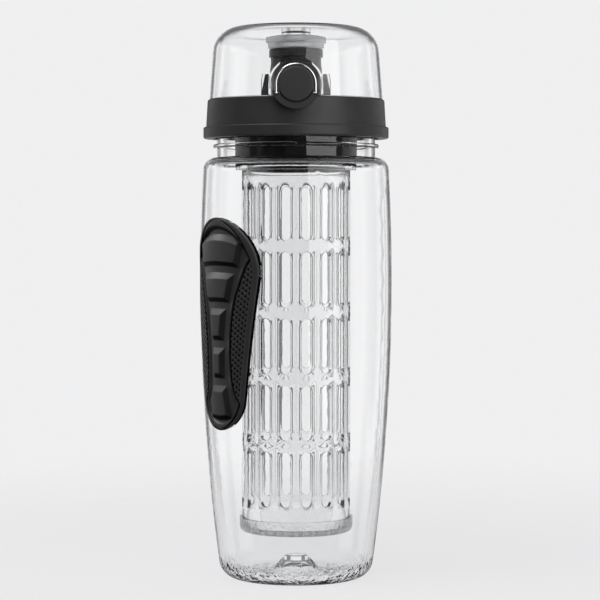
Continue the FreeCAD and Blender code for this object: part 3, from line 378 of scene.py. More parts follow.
def pebbled(tree, height, limit):
    """The height with pebbles added below a limit, in a ring round the axis."""
    spot = add_node(tree, "ShaderNodeTexCoord").outputs["Object"]
    cells = add_node(tree, "ShaderNodeTexVoronoi", {"Vector": spot, "Scale": PEBBLE_SCALE})
    parts = add_node(tree, "ShaderNodeSeparateXYZ", {0: spot}).outputs
    y_square = times(tree, parts["Y"], parts["Y"])
    square = math_node(tree, "MULTIPLY_ADD", parts["X"], parts["X"], y_square)
    from_axis = math_node(tree, "SQRT", square)
    ring = smooth_range(tree, from_axis, *PEBBLE_RING, 0, PEBBLE_RISE)
    share = smooth_range(tree, parts["Z"], PEBBLE_FADE * limit, limit, ring, 0)
    return math_node(tree, "MULTIPLY_ADD", cells.outputs["Distance"], share, height)


print("clear helpers ready")


# %% Clear plastics
def clear_finish(name, base, gloss, passing, drift, bump, depth, ior=1.5, pebbled_below=0.0):
    """A clear plastic whose gloss and surface drift a little, as moulded walls do."""
    material, tree, shader = new_finish(name, base, gloss[0])
    shader.inputs["Transmission Weight"].default_value = 1
    shader.inputs["IOR"].default_value = ior
    height = place_grain(tree, CLEAR_GRAIN, drift)["Drift"]
    drift_gloss(tree, shader, height, gloss, CLEAR_SPAN)
    if pebbled_below:
        height = pebbled(tree, height, pebbled_below)
    raise_surface(tree, shader, height, bump, depth)
    let_lamps_through(tree, shader, passing)
    return material


bottle_clear = clear_finish("bottle_clear", base=(0.99, 0.992, 0.994), gloss=(0.0, 0.012),
                            passing=(0.95, 0.95, 0.955), drift=38, bump=0.2, depth=0.0002,
                            pebbled_below=0.0105)
infuser_clear = clear_finish("infuser_clear", base=(0.985, 0.988, 0.99), gloss=(0.005, 0.03),
                             passing=(0.94, 0.94, 0.945), drift=60, bump=0.15, depth=0.0002)
strainer_clear = clear_finish("strainer_clear", base=(0.97, 0.973, 0.976), gloss=(0.1, 0.2),
                              passing=(0.92, 0.92, 0.925), drift=600, bump=0.9, depth=0.0004)
cap_clear = clear_finish("cap_clear", base=(0.99, 0.992, 0.994), gloss=(0.0, 0.01),
                         passing=(0.95, 0.95, 0.955), drift=30, bump=0.15, depth=0.0002)
seal_frosty = clear_finish("seal_frosty", base=(0.66, 0.67, 0.68), gloss=(0.34, 0.46), ior=1.41,
                           passing=(0.6, 0.6, 0.61), drift=300, bump=0.2, depth=0.0001)
print("five clear finishes")

# %% Metals
METAL_GRAIN = 2500


def metal(name, colour, gloss, drift):
    """Bright or drawn metal with gloss that drifts along the piece."""
    material, tree, shader = new_finish(name, colour, gloss[0])
    shader.inputs["Metallic"].default_value = 1
    drift_gloss(tree, shader, place_grain(tree, METAL_GRAIN, drift)["Drift"], gloss)
    return material


wire_bright = metal("wire_bright", colour=(0.83, 0.84, 0.85), gloss=(0.07, 0.14), drift=500)
spring_steel = metal("spring_steel", colour=(0.55, 0.55, 0.56), gloss=(0.24, 0.36), drift=600)
print("two metals")

# %% [markdown]
# ## The soft grip
# The real grip is one rubber moulding that lies in a recess of the wall: a rolled rim all round, a
# waisted band down the middle with five finger pads like cut-off pyramids, and a lens-shaped panel
# of small diamond pits on either side. It could be carved by hand, but every part of it is a rule
# on two numbers, how far from the middle line and how high, so a grid of heights over the bottle's
# wall gives it with clean edges. The rows follow the outline, so the edge stays smooth. Sizes in
# these cells are in mm.

# %% The wall that the grip lies on, and the grip's outline
GRIP_AZIMUTH = 54.5
GRIP_TOP, GRIP_LOW = 172.95, 72.95
TOP_ROUND, LOW_ROUND = 24.95, 16.95
SIDE_ROUND, WIDEST, WIDEST_HEIGHT = 991, 46.1, 142
RECESS = 1.45

top_centre = GRIP_TOP - TOP_ROUND
low_centre = GRIP_LOW + LOW_ROUND
lean = (TOP_ROUND - LOW_ROUND) / (top_centre - low_centre)
upright = math.sqrt(1 - lean ** 2)
low_knee, top_knee = low_centre - LOW_ROUND * lean, top_centre - TOP_ROUND * lean
knee_widths = (LOW_ROUND * upright, TOP_ROUND * upright)


def wall_radius(height):
    """The bottle's outer radius, one long arc."""
    return WIDEST - SIDE_ROUND + np.sqrt(SIDE_ROUND ** 2 - (height - WIDEST_HEIGHT) ** 2)


def by_part(height, above, beside, below):
    """One of three, by the part of the outline that a height is in."""
    return np.where(height > top_knee, above, np.where(height < low_knee, below, beside))


def outline_half(height):
    """Half width of the grip at a height: two round ends and their tangents."""
    beside = np.interp(height, (low_knee, top_knee), knee_widths)
    above = np.sqrt(np.maximum(TOP_ROUND ** 2 - (height - top_centre) ** 2, 0))
    below = np.sqrt(np.maximum(LOW_ROUND ** 2 - (height - low_centre) ** 2, 0))
    return by_part(height, above, beside, below)


def outline_distance(across, height):
    """How far a spot is inside the outline."""
    above = TOP_ROUND - np.hypot(across, height - top_centre)
    below = LOW_ROUND - np.hypot(across, height - low_centre)
    beside = (outline_half(height) - np.abs(across)) * upright
    return by_part(height, above, beside, below)


print("grip from", GRIP_LOW, "to", GRIP_TOP, "mm, half width at the ends",
      [round(width, 1) for width in knee_widths])

# %% Finger pads and pits
BAND_HEIGHTS = (84.5, 88, 91.8, 97, 103, 109, 116, 123, 130, 136, 142, 150, 157.5)
BAND_HALVES = (14.6, 11.6, 9.9, 9.0, 8.7, 8.6, 8.9, 9.6, 10.8, 12.4, 14.7, 17.9, 21.3)
PADS = (
    # lower edge, upper edge, half width at each, bend of the lower and of the upper edge
    (150.2, 165.4, 14.7, 17.8, 0.0045, 0.011),
    (133.2, 147.4, 8.6, 12.5, 0.004, 0.004),
    (115.2, 130.4, 4.6, 6.7, 0.0, 0.0),
    (97.4, 112.0, 4.4, 5.0, 0.0, 0.0),
    (77.6, 94.2, 8.8, 5.8, -0.016, 0.0),
)
PAD_FOOT, PAD_TOP = -1.05, 0.75
UPPER_FACET, LOWER_FACET, SIDE_FACET = 3.2, 2.6, 2.5
# Painted shade on the pads' lower and side facets, and the share of a facet over which it fades in
LOWER_SHADE, SIDE_SHADE, SHADE_BLEND = 0.85, 0.55, 0.15
PIT_ACROSS, PIT_UP = 3.4, 2.5
PIT_HALVES = (0.7, 0.98)
PIT_EDGES = (0.6, 1.25)
PIT_DEPTH = 0.75


def soft_step(low, high, numbers):
    """Shares from 0 at the low limit to 1 at the high one, with soft ends."""
    share = np.clip((numbers - low) / (high - low), 0, 1)
    return share * share * (3 - 2 * share)


def pad_shares(across, height):
    """Cut-off pyramids, each the least of four facets and a flat top, and painted shade on them."""
    raised, shaded = np.zeros_like(across), np.zeros_like(across)
    for low, high, low_half, high_half, low_bend, high_bend in PADS:
        half = np.interp(height, (low, high), (low_half, high_half))
        upper = (high - high_bend * across ** 2 - height) / UPPER_FACET
        lower = (height - low + low_bend * across ** 2) / LOWER_FACET
        side = (half - np.abs(across)) / SIDE_FACET
        facets = np.minimum(upper, np.minimum(lower, side))
        raised = np.maximum(raised, np.clip(facets, 0, 1))
        # Painted shade: the sloping lower and side facets are marked to be darkened in the finish
        sloping = soft_step(0, SHADE_BLEND, facets) * (1 - soft_step(1 - SHADE_BLEND, 1, facets))
        beside = np.where(side <= facets, SIDE_SHADE, 0)
        shade = np.where(lower <= facets, LOWER_SHADE, beside)
        shaded = np.maximum(shaded, sloping * shade)
    return raised, shaded


def pit_shares(across, height):
    """Staggered diamonds in columns that run along the outline."""
    column = (outline_half(height) - np.abs(across)) / PIT_ACROSS
    row = height / PIT_UP
    nearest = np.full_like(across, np.inf)
    for shift in (0, 0.5):
        aside = np.abs((column + shift) % 1 - 0.5) * PIT_ACROSS
        up = np.abs((row + shift) % 1 - 0.5) * PIT_UP
        nearest = np.minimum(nearest, aside / PIT_HALVES[0] + up / PIT_HALVES[1])
    return 1 - soft_step(*PIT_EDGES, nearest)


print(len(PADS), "pads, band waist", min(BAND_HALVES), "mm half width")

# %% Heights over the wall
# The rim, and what the hood at its top adds
HOOD_SPAN = (146, 160)
RIM_WIDTH, RIM_RISE = 2.7, 0.15
HOOD_WIDTH, HOOD_RISE = 1.5, 0.45
# The band, which sinks from its lip to the feet of the pads
BAND_MARGIN, BAND_LIP = 0.8, -0.25
BAND_SLOPE, BAND_EDGE, BAND_END = (0.3, 2.2), (-0.1, 0.5), (0, 1.2)
# Lines cut beside the band and under the hood: how far off, where each starts and ends, how deep;
# the crease also gets a share of painted shade
GROOVE_OFF, GROOVE_EDGES, GROOVE_DEPTH = 0.6, (0.35, 0.95), 0.8
CREASE_OFF, CREASE_EDGES, CREASE_DEPTH, CREASE_SHADE = 0.7, (0.3, 1.3), 0.9, 0.75
# The pitted panels, the sunk outer edge, and the least that is left of the rubber
PANEL_FROM_BAND, PANEL_FROM_RIM = (1.2, 1.7), (0.2, 0.7)
EDGE_WIDTH, EDGE_DROP = 0.6, 0.5
LEAST_RUBBER = 0.25
# Room inside the bottle's widest line
SIDE_ROOM = 0.08


def grip_heights(across, height):
    """Height over the wall and the painted shade at each spot, both over the grid."""
    inside = outline_distance(across, height)
    hood = soft_step(*HOOD_SPAN, height)
    rim_width = RIM_WIDTH + HOOD_WIDTH * hood
    from_rim = inside - rim_width
    share = np.clip(inside / rim_width, 0, 1)
    rim = (RIM_RISE + HOOD_RISE * hood) * (1 - (2 * share - 1) ** 4)
    half = np.interp(height, BAND_HEIGHTS, BAND_HALVES)
    half = np.minimum(half, outline_half(height) - rim_width - BAND_MARGIN)
    within = half - np.abs(across)
    level = BAND_LIP + (PAD_FOOT - BAND_LIP) * soft_step(*BAND_SLOPE, within)
    level = level * soft_step(*BAND_EDGE, within) * soft_step(*BAND_END, from_rim)
    groove = 1 - soft_step(*GROOVE_EDGES, np.abs(within + GROOVE_OFF))
    crease = (1 - soft_step(*CREASE_EDGES, np.abs(from_rim - CREASE_OFF))) * hood
    edge = 1 - soft_step(0, EDGE_WIDTH, inside)
    panel = soft_step(*PANEL_FROM_BAND, -within) * soft_step(*PANEL_FROM_RIM, from_rim) * (1 - hood)
    pits = pit_shares(across, height) * panel
    cut = GROOVE_DEPTH * groove + CREASE_DEPTH * crease + PIT_DEPTH * pits
    heights = np.maximum(rim + level - EDGE_DROP * edge - cut, LEAST_RUBBER - RECESS)
    pads, shaded = pad_shares(across, height)
    pad_heights = np.maximum(heights, PAD_FOOT + (PAD_TOP - PAD_FOOT) * pads)
    heights = np.where(pads > 0, pad_heights, heights)
    # Painted shade: pits, the groove, the crease and the pads' lower and side facets darken the
    # rubber
    painted_shade = np.maximum(np.maximum(pits, shaded), np.maximum(groove, CREASE_SHADE * crease))
    faces_way = math.radians(GRIP_AZIMUTH) - np.arcsin(across / WIDEST)
    widest_line = (WIDEST - SIDE_ROOM) / np.sin(faces_way) - wall_radius(height)
    return np.minimum(heights, widest_line), painted_shade


print("heights from", LEAST_RUBBER - RECESS, "to", PAD_TOP, "mm")

# %% The grid of the grip, closed by a floor in the recess
GRIP_STEP = 0.28
GRIP_COLUMNS, FLOOR_COLUMNS = 164, 12
# Rows crowd towards the round ends
END_ROWS = np.array((0.0, 0.03, 0.12, 0.28, 0.5))
EVEN_FROM, EVEN_TO = GRIP_LOW + 0.8, GRIP_TOP - 0.7

even_rows = np.arange(EVEN_FROM, EVEN_TO, GRIP_STEP)
rows = np.concatenate((GRIP_LOW + END_ROWS, even_rows, GRIP_TOP - END_ROWS[::-1]))


def grip_grid(columns):
    """Across and height of each spot of a grid that fills the outline."""
    share = np.linspace(-1, 1, columns + 1)
    height = np.repeat(rows[:, None], columns + 1, axis=1)
    return share[None, :] * outline_half(rows)[:, None], height


def on_wall(across, height, rise):
    """Points of the wall, turned to the grip's place on the bottle, in metres."""
    radius = wall_radius(height) + rise
    out = np.sqrt(radius ** 2 - across ** 2)
    turn = math.radians(GRIP_AZIMUTH)
    x = across * math.cos(turn) - out * math.sin(turn)
    y = -across * math.sin(turn) - out * math.cos(turn)
    return np.stack((x, y, height), axis=-1).reshape(-1, 3) * MM


def grid_faces(columns, first):
    """The faces of a grid whose points are numbered from the first."""
    width = columns + 1
    corner = np.arange(len(rows) - 1)[:, None] * width + np.arange(columns)[None, :] + first
    above = corner + width
    return np.stack((corner, corner + 1, above + 1, above), axis=-1).reshape(-1, 4)


across, height = grip_grid(GRIP_COLUMNS)
rise, painted_shade = grip_heights(across, height)
floor_across, floor_height = grip_grid(FLOOR_COLUMNS)
recess_floor = np.full_like(floor_across, -RECESS)
points = np.concatenate((on_wall(across, height, rise),
                         on_wall(floor_across, floor_height, recess_floor)))
floor_first = across.size
faces = [grid_faces(GRIP_COLUMNS, 0), grid_faces(FLOOR_COLUMNS, floor_first)[:, ::-1]]
step = np.arange(len(rows) - 1)
for top_edge, floor_edge in ((0, 0), (GRIP_COLUMNS, FLOOR_COLUMNS)):
    top_line = step * (GRIP_COLUMNS + 1) + top_edge
    floor_line = step * (FLOOR_COLUMNS + 1) + floor_edge + floor_first
    next_top, next_floor = top_line + GRIP_COLUMNS + 1, floor_line + FLOOR_COLUMNS + 1
    faces.append(np.stack((top_line, next_top, next_floor, floor_line), axis=-1))
print(len(points), "points,", sum(len(part) for part in faces), "faces")

# %% Helpers that finish a piece
SMOOTH_BELOW = 40


def smooth(mesh, angle=SMOOTH_BELOW):
    """Smooth shading, apart from edges sharper than an angle in degrees."""
    mesh.shade_smooth()
    mesh.set_sharp_from_angle(angle=math.radians(angle))


def tidy_mesh(mesh, angle=SMOOTH_BELOW):
    """Merge doubles, point faces outwards and smooth all but the sharp edges."""
    shaper = bmesh.new()
    shaper.from_mesh(mesh)
    bmesh.ops.remove_doubles(shaper, verts=shaper.verts, dist=2e-6)
    bmesh.ops.dissolve_degenerate(shaper, edges=shaper.edges, dist=1e-7)
    bmesh.ops.recalc_face_normals(shaper, faces=shaper.faces)
    shaper.to_mesh(mesh)
    shaper.free()
    smooth(mesh, angle)


def set_piece(name, mesh, finish, body, slot, *replaced):
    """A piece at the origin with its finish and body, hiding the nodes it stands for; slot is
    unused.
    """
    piece = bpy.data.objects.new(name, mesh)
    scene.collection.objects.link(piece)
    mesh.materials.clear()
    mesh.materials.append(finish)
    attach(piece, body)
    if replaced:
        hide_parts(*replaced)
    print(name, "has", sum(len(face.vertices) - 2 for face in mesh.polygons), "triangles")
    return piece


print("piece helpers ready")

# %% [markdown]
# Pits, grooves and the facets that turn away from the lamps hold little light, and the pits' floors
# are finer than the grid. So that shade is painted: each point of the mesh also carries a share of
# painted shade, and the finish darkens the rubber and dulls its shine by that share.

# %% The grip's finish and the piece
RUBBER_SHINE = 0.32
PAINTED_SHADE_BLACK = (0.002, 0.002, 0.002)
GRIP_SMOOTH = 50

grip_black = grained("grip_black", tones=((0.02, 0.02, 0.0205), (0.03, 0.03, 0.0305)),
                     gloss=(0.4, 0.5), grain=2400, drift=80, bump=0.3, specular=RUBBER_SHINE)
tree = grip_black.node_tree
shader_inputs = tree.nodes["Principled BSDF"].inputs
rubber = shader_inputs["Base Color"].links[0].from_socket
# Painted shade: by the mesh's share, the rubber goes towards near black and loses its shine
painted_shade_share = add_node(tree, "ShaderNodeAttribute", attribute_name="painted_shade_share").outputs["Fac"]
tree.links.new(mix_colours(tree, painted_shade_share, rubber, PAINTED_SHADE_BLACK), shader_inputs["Base Color"])
shine = smooth_range(tree, painted_shade_share, 0, 1, RUBBER_SHINE, 0)
tree.links.new(shine, shader_inputs["Specular IOR Level"])

grip_mesh = bpy.data.meshes.new("grip")
grip_mesh.from_pydata(points.tolist(), [], np.concatenate(faces).tolist())
# Each point's share of painted shade; the recess floor has none
shares = np.concatenate((painted_shade.reshape(-1), np.zeros(floor_across.size))).astype(np.float32)
grip_mesh.attributes.new("painted_shade_share", "FLOAT", "POINT").data.foreach_set("value", shares)
tidy_mesh(grip_mesh, GRIP_SMOOTH)
grip = set_piece("grip", grip_mesh, grip_black, "bottle", "black_grip", "grip_pad")

# %% [markdown]
# ## The slotted infuser
# The tube that holds the fruit is a rule from end to end: one slot, sixteen times round and five
# times up, between plain bands, with a flange under the skirt and two bayonet lugs above it. So
# Geometry Nodes make it. One flat tile with a slot in it is laid out in columns and rows, plain
# bands close the ends, the sheet is wrapped round the tube's radius, and extruding gives the wall,
# the flange and the lugs. Cutting eighty slots with booleans would also work, but it leaves messy
# faces that show in glass.


# %% Helpers that build and bake a tree
def new_shape_tree(name, sizes):
    """A Geometry Nodes tree with a named input for each size."""
    tree = bpy.data.node_groups.new(name, "GeometryNodeTree")
    new_socket = tree.interface.new_socket
    new_socket("Geometry", in_out="INPUT", socket_type="NodeSocketGeometry")
    for label, size in sizes.items():
        kind = {int: "Int", float: "Float", tuple: "Vector"}[type(size)]
        new_socket(label, in_out="INPUT", socket_type="NodeSocket" + kind).default_value = size
    new_socket("Geometry", in_out="OUTPUT", socket_type="NodeSocketGeometry")
    return tree, add_node(tree, "NodeGroupInput").outputs


def close_tree(tree, geometry, finish):
    """Every tree ends in real faces with a finish."""
    real = output_of(tree, "GeometryNodeRealizeInstances", {0: geometry})
    dressed = output_of(tree, "GeometryNodeSetMaterial", {"Geometry": real, "Material": finish})
    add_node(tree, "NodeGroupOutput", {0: dressed})
    print("tree", tree.name, "has", len(tree.nodes), "nodes")


def applied(holder, modifier):
    """What an object's one modifier makes of it, as a plain mesh; the modifier goes."""
    shaped = holder.evaluated_get(bpy.context.evaluated_depsgraph_get())
    mesh = bpy.data.meshes.new_from_object(shaped)
    holder.modifiers.remove(modifier)
    return mesh


def baked(name, mesh, tree, sizes, bevel=0.0):
    """The tree's result on a mesh, and a bevel where one is asked for, as a plain mesh."""
    holder = bpy.data.objects.new(name + "_holder", mesh)
    scene.collection.objects.link(holder)
    shape = holder.modifiers.new("shape", "NODES")
    shape.node_group = tree
    for item in tree.interface.items_tree:
        if item.in_out == "INPUT" and item.name in sizes:
            shape[item.identifier] = sizes[item.name]
    result = applied(holder, shape)
    tidy_mesh(result)
    if bevel:
        holder.data = result
        edges = holder.modifiers.new("edges", "BEVEL")
        edges.width = bevel
        edges.segments = 2
        edges.limit_method = "ANGLE"
        edges.angle_limit = math.radians(SMOOTH_BELOW)
        result = applied(holder, edges)
        smooth(result)
    bpy.data.objects.remove(holder)
    result.name = name
    return result


print("tree helpers ready")

# %% One tile with its slot
TUBE = {
    "Tube Radius": 0.026, "Wall": 0.0018, "Columns": 16, "Rows": 5, "Slot Pitch": 0.0314,
    "Lowest Tile": 0.03385, "Flange Reach": 0.003, "Flange Low": 0.19565, "Flange High": 0.19825,
    "Lug Reach": 0.0015, "Lug Low": 0.2029, "Lug High": 0.2054, "Lug Middle": 101.25,
}
TUBE_LOW, TUBE_TOP = 0.0255, 0.2074
SLOT_HALF, SLOT_LENGTH = 0.0025, 0.0261
ENDS, SIDES = 8, 6  # points round each end of a slot and along each side

tile_width = 2 * math.pi * TUBE["Tube Radius"] / TUBE["Columns"]
half_pitch = TUBE["Slot Pitch"] / 2
middle = Vector((tile_width / 2, 0, half_pitch))
half_straight = SLOT_LENGTH / 2 - SLOT_HALF
slot_loop = []
border_loop = []
for end in (1, -1):
    for number in range(ENDS):
        turn = math.pi * number / ENDS
        up = half_straight + SLOT_HALF * math.sin(turn)
        aside = tile_width * (0.5 - number / ENDS)
        slot_loop.append(middle + end * Vector((SLOT_HALF * math.cos(turn), 0, up)))
        border_loop.append(middle + end * Vector((aside, 0, half_pitch)))
    for number in range(SIDES):
        share = 1 - 2 * number / SIDES
        slot_loop.append(middle + end * Vector((-SLOT_HALF, 0, half_straight * share)))
        border_loop.append(middle + end * Vector((-tile_width / 2, 0, half_pitch * share)))
count = len(slot_loop)
tile_faces = [(number, count + number, count + (number + 1) % count, (number + 1) % count)
              for number in range(count)]
tile = bpy.data.meshes.new("slot_tile")
tile.from_pydata([tuple(spot) for spot in slot_loop + border_loop], [], tile_faces)
if tile.polygons[0].normal.y > 0:
    tile.flip_normals()
print("tile", round(tile_width / MM, 2), "mm wide with", count, "faces")

# %% Helpers for shape trees
WELD = 1e-5


def is_more(tree, number, limit):
    """True where a number is over a limit."""
    return output_of(tree, "FunctionNodeCompare", {0: number, 1: limit}, operation="GREATER_THAN")


def both(tree, first, second):
    """True where both are."""
    return output_of(tree, "FunctionNodeBooleanMath", {0: first, 1: second})


def vector(tree, **parts):
    """A vector from its named parts; the others are zero."""
    return output_of(tree, "ShaderNodeCombineXYZ", parts)


def parts_of_position(tree):
    """The position of each point, and its X, Y and Z."""
    position = output_of(tree, "GeometryNodeInputPosition")
    return position, add_node(tree, "ShaderNodeSeparateXYZ", {0: position}).outputs


def repeat(tree, geometry, count, start, offset):
    """Real copies of a geometry along a line."""
    places = {"Count": count, "Start Location": start, "Offset": offset}
    line = output_of(tree, "GeometryNodeMeshLine", places)
    copies = output_of(tree, "GeometryNodeInstanceOnPoints", {"Points": line, "Instance": geometry})
    return output_of(tree, "GeometryNodeRealizeInstances", {0: copies})


def moved_to(tree, geometry, position):
    """The geometry with each point at a new position."""
    return output_of(tree, "GeometryNodeSetPosition", {"Geometry": geometry, "Position": position})


def welded(tree, geometry, distance=WELD):
    """The geometry with its doubled points merged."""
    return output_of(tree, "GeometryNodeMergeByDistance",
                     {"Geometry": geometry, "Distance": distance})


def extruded(tree, mesh, reach, **more):
    """The mesh with faces moved out as one; more inputs name which."""
    return output_of(tree, "GeometryNodeExtrudeMesh",
                     {"Mesh": mesh, "Offset Scale": reach, "Individual": False, **more})


print("shape helpers ready")

# %% The tube's tree: tiles and bands in a flat sheet
tree, given = new_shape_tree("slotted_tube", TUBE)
radius = given["Tube Radius"]
around = times(tree, radius, 2 * math.pi)
half_around = times(tree, around, 0.5)
column_step = math_node(tree, "DIVIDE", around, given["Columns"])
tile_row = repeat(tree, given["Geometry"], given["Columns"],
                  vector(tree, Z=given["Lowest Tile"]), vector(tree, X=column_step))
slotted = repeat(tree, tile_row, given["Rows"], (0, 0, 0), vector(tree, Z=given["Slot Pitch"]))
slots_tall = times(tree, given["Rows"], given["Slot Pitch"])
slots_top = math_node(tree, "ADD", slots_tall, given["Lowest Tile"])
above_slots = [slots_top, given["Flange Low"], given["Flange High"], given["Lug Low"],
               given["Lug High"], TUBE_TOP]
bands = [(TUBE_LOW, given["Lowest Tile"]), *zip(above_slots, above_slots[1:])]
sheet = add_node(tree, "GeometryNodeJoinGeometry", {0: slotted})
band_columns = math_node(tree, "MULTIPLY_ADD", given["Columns"], ENDS, 1)
for low, high in bands:
    tall = math_node(tree, "SUBTRACT", high, low)
    centre = times(tree, math_node(tree, "ADD", low, high), 0.5)
    grid = {"Size X": around, "Size Y": tall, "Vertices X": band_columns, "Vertices Y": 2}
    standing = {"Geometry": output_of(tree, "GeometryNodeMeshGrid", grid),
                "Translation": vector(tree, X=half_around, Z=centre),
                "Rotation": (math.pi / 2, 0, 0)}
    tree.links.new(output_of(tree, "GeometryNodeTransform", standing), sheet.inputs[0])
print(len(bands), "plain bands")

# %% The tube's tree: wrap and thicken
_, flat = parts_of_position(tree)
turned = math_node(tree, "DIVIDE", flat["X"], radius)
side = times(tree, math_node(tree, "SINE", turned), radius)
front = times(tree, math_node(tree, "COSINE", turned),
                  times(tree, radius, -1))
wrapped = moved_to(tree, sheet.outputs[0], vector(tree, X=side, Y=front, Z=flat["Z"]))
skin = welded(tree, wrapped)
lining = extruded(tree, skin, times(tree, given["Wall"], -1))
wall = add_node(tree, "GeometryNodeJoinGeometry", {0: skin})
tree.links.new(lining, wall.inputs[0])
wall = welded(tree, wall.outputs[0])
print("wall of", TUBE["Wall"] / MM, "mm")

# %% The tube's tree: flange and lugs, then the piece
OUTER_SHARE = -0.3  # of the wall: what lies farther out is the outer skin
LUG_SHARE = 0.98  # of the radius: faces that reach this far belong to a lug
TUBE_BEVEL = 0.3 * MM

spot, parts = parts_of_position(tree)
from_axis = add_node(tree, "ShaderNodeVectorMath", {0: vector(tree, X=parts["X"], Y=parts["Y"])},
                     operation="LENGTH").outputs["Value"]
outer_limit = math_node(tree, "MULTIPLY_ADD", given["Wall"], OUTER_SHARE, radius)
outside = is_more(tree, from_axis, outer_limit)


def outside_between(low, high):
    """True on the outer skin between two heights."""
    higher = is_more(tree, parts["Z"], given[low])
    return both(tree, outside, both(tree, higher, is_more(tree, given[high], parts["Z"])))


flange_here = outside_between("Flange Low", "Flange High")
flanged = extruded(tree, wall, given["Flange Reach"], Selection=flange_here)
lug_turn = math_node(tree, "RADIANS", given["Lug Middle"])
lug_back = times(tree, math_node(tree, "COSINE", lug_turn), -1)
lug_way = vector(tree, X=math_node(tree, "SINE", lug_turn), Y=lug_back)
towards = add_node(tree, "ShaderNodeVectorMath", {0: spot, 1: lug_way}, operation="DOT_PRODUCT")
near_lug = is_more(tree, math_node(tree, "ABSOLUTE", towards.outputs["Value"]),
                   times(tree, radius, LUG_SHARE))
lug_here = both(tree, near_lug, outside_between("Lug Low", "Lug High"))
lugged = extruded(tree, flanged, given["Lug Reach"], Selection=lug_here)
close_tree(tree, lugged, infuser_clear)
infuser_mesh = baked("infuser_tube", tile, tree, TUBE, bevel=TUBE_BEVEL)
set_piece("infuser_tube", infuser_mesh, infuser_clear, "infuser", "clear_plastic", "infuser_basket")

# %% [markdown]
# ## Springs and the neck's thread
# A spring and a screw thread are both a section that follows a helix. One helper draws the helix
# from its radius, pitch and turns, with straight legs along its end directions where the wire has
# them. The springs sweep a round wire along it; the thread sweeps a trapezium that fades out at
# both ends.

# %% A helix as nodes
HAIR = 0.0001  # keeps the coil's end points out of the legs
WIRE_WELD = 1e-6


def helix_nodes(tree, given):
    """A curve round Z from the tree's inputs, by the number of each point on a line of points."""
    points = math_node(tree, "ADD", given["Samples"], 2)
    line = output_of(tree, "GeometryNodeMeshLine", {"Count": points, "Offset": (0, 0, MM)})
    from_first = math_node(tree, "SUBTRACT", output_of(tree, "GeometryNodeInputIndex"), 1)
    share = math_node(tree, "DIVIDE", from_first, math_node(tree, "SUBTRACT", given["Samples"], 1))
    held = math_node(tree, "MINIMUM", math_node(tree, "MAXIMUM", share, 0), 1)
    turned = times(tree, held, given["Turns"])
    angle = times(tree, turned, 2 * math.pi)
    cosine = math_node(tree, "COSINE", angle)
    sine = math_node(tree, "SINE", angle)
    beyond = math_node(tree, "SUBTRACT", math_node(tree, "GREATER_THAN", share, 1 + HAIR),
                       math_node(tree, "LESS_THAN", share, -HAIR))
    leg = times(tree, beyond, given["Leg"])
    leg_x = times(tree, times(tree, sine, leg), -1)
    leg_y = times(tree, cosine, leg)
    x = math_node(tree, "MULTIPLY_ADD", cosine, given["Coil Radius"], leg_x)
    y = math_node(tree, "MULTIPLY_ADD", sine, given["Coil Radius"], leg_y)
    z = times(tree, turned, given["Pitch"])
    coiled = welded(tree, moved_to(tree, line, vector(tree, X=x, Y=y, Z=z)), WIRE_WELD)
    return output_of(tree, "GeometryNodeMeshToCurve", {"Mesh": coiled})


SPRING = {
    "Coil Radius": 0.002, "Pitch": 0.0012, "Turns": 4.5, "Leg": 0.0055, "Samples": 120,
    "Wire": 0.0007, "Turn": (0.0, 0.0, 0.0), "Place": (0.0, 0.0, 0.0),
}
wound_wire, given = new_shape_tree("wound_wire", SPRING)
wire_radius = times(wound_wire, given["Wire"], 0.5)
wire_round = output_of(wound_wire, "GeometryNodeCurvePrimitiveCircle",
                       {"Resolution": 14, "Radius": wire_radius})
swept = output_of(wound_wire, "GeometryNodeCurveToMesh",
                  {"Curve": helix_nodes(wound_wire, given), "Profile Curve": wire_round,
                   "Fill Caps": True})
put = output_of(wound_wire, "GeometryNodeTransform",
                {"Geometry": swept, "Translation": given["Place"], "Rotation": given["Turn"]})
close_tree(wound_wire, put, spring_steel)

# %% The cap's torsion spring
CAP_PIVOT = (0.04345, 0.2326)
CAP_COIL_START = -0.0027

cap_sizes = dict(SPRING, Turn=(0.0, math.pi / 2, 0.0), Place=(CAP_COIL_START, *CAP_PIVOT))
cap_coil = baked("cap_coil", bpy.data.meshes.new("cap_coil_start"), wound_wire, cap_sizes)
set_piece("cap_coil", cap_coil, spring_steel, "lid", "steel", "cap_spring")

# %% [markdown]
# The push spring rides the lid and has a mesh of its own. In the real lid it is squashed towards
# its rear end as the button goes in.

# %% The button's push spring
PUSH = {"Coil Radius": 0.0016, "Pitch": 0.00115, "Turns": 5.0, "Leg": 0.0, "Wire": 0.0005}

push_low, push_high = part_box("button_spring")
push_middle = (push_low[2] + push_high[2]) / 2
push_sizes = dict(SPRING, **PUSH, Turn=(math.pi / 2, 0.0, 0.0),
                  Place=(0.0, push_high[1] - PUSH["Wire"] / 2, push_middle))
push_coil = baked("push_coil", bpy.data.meshes.new("push_coil_start"), wound_wire, push_sizes)
push_piece = set_piece("push_coil", push_coil, spring_steel, "lid", "steel", "button_spring")
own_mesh(push_piece)

# %% The neck's thread
THREAD = {
    "Coil Radius": 0.03805, "Pitch": 0.0042, "Turns": 1.6, "Leg": 0.0, "Samples": 220,
    "Root Half": 0.0011, "Crest Half": 0.0005, "Depth": 0.0008, "Fade": 0.08,
    "Place": (0.0, 0.0, 0.2126),
}
SUNK_SHARE = -0.3  # of the depth: the root reaches into the neck
THIN_END = 0.1

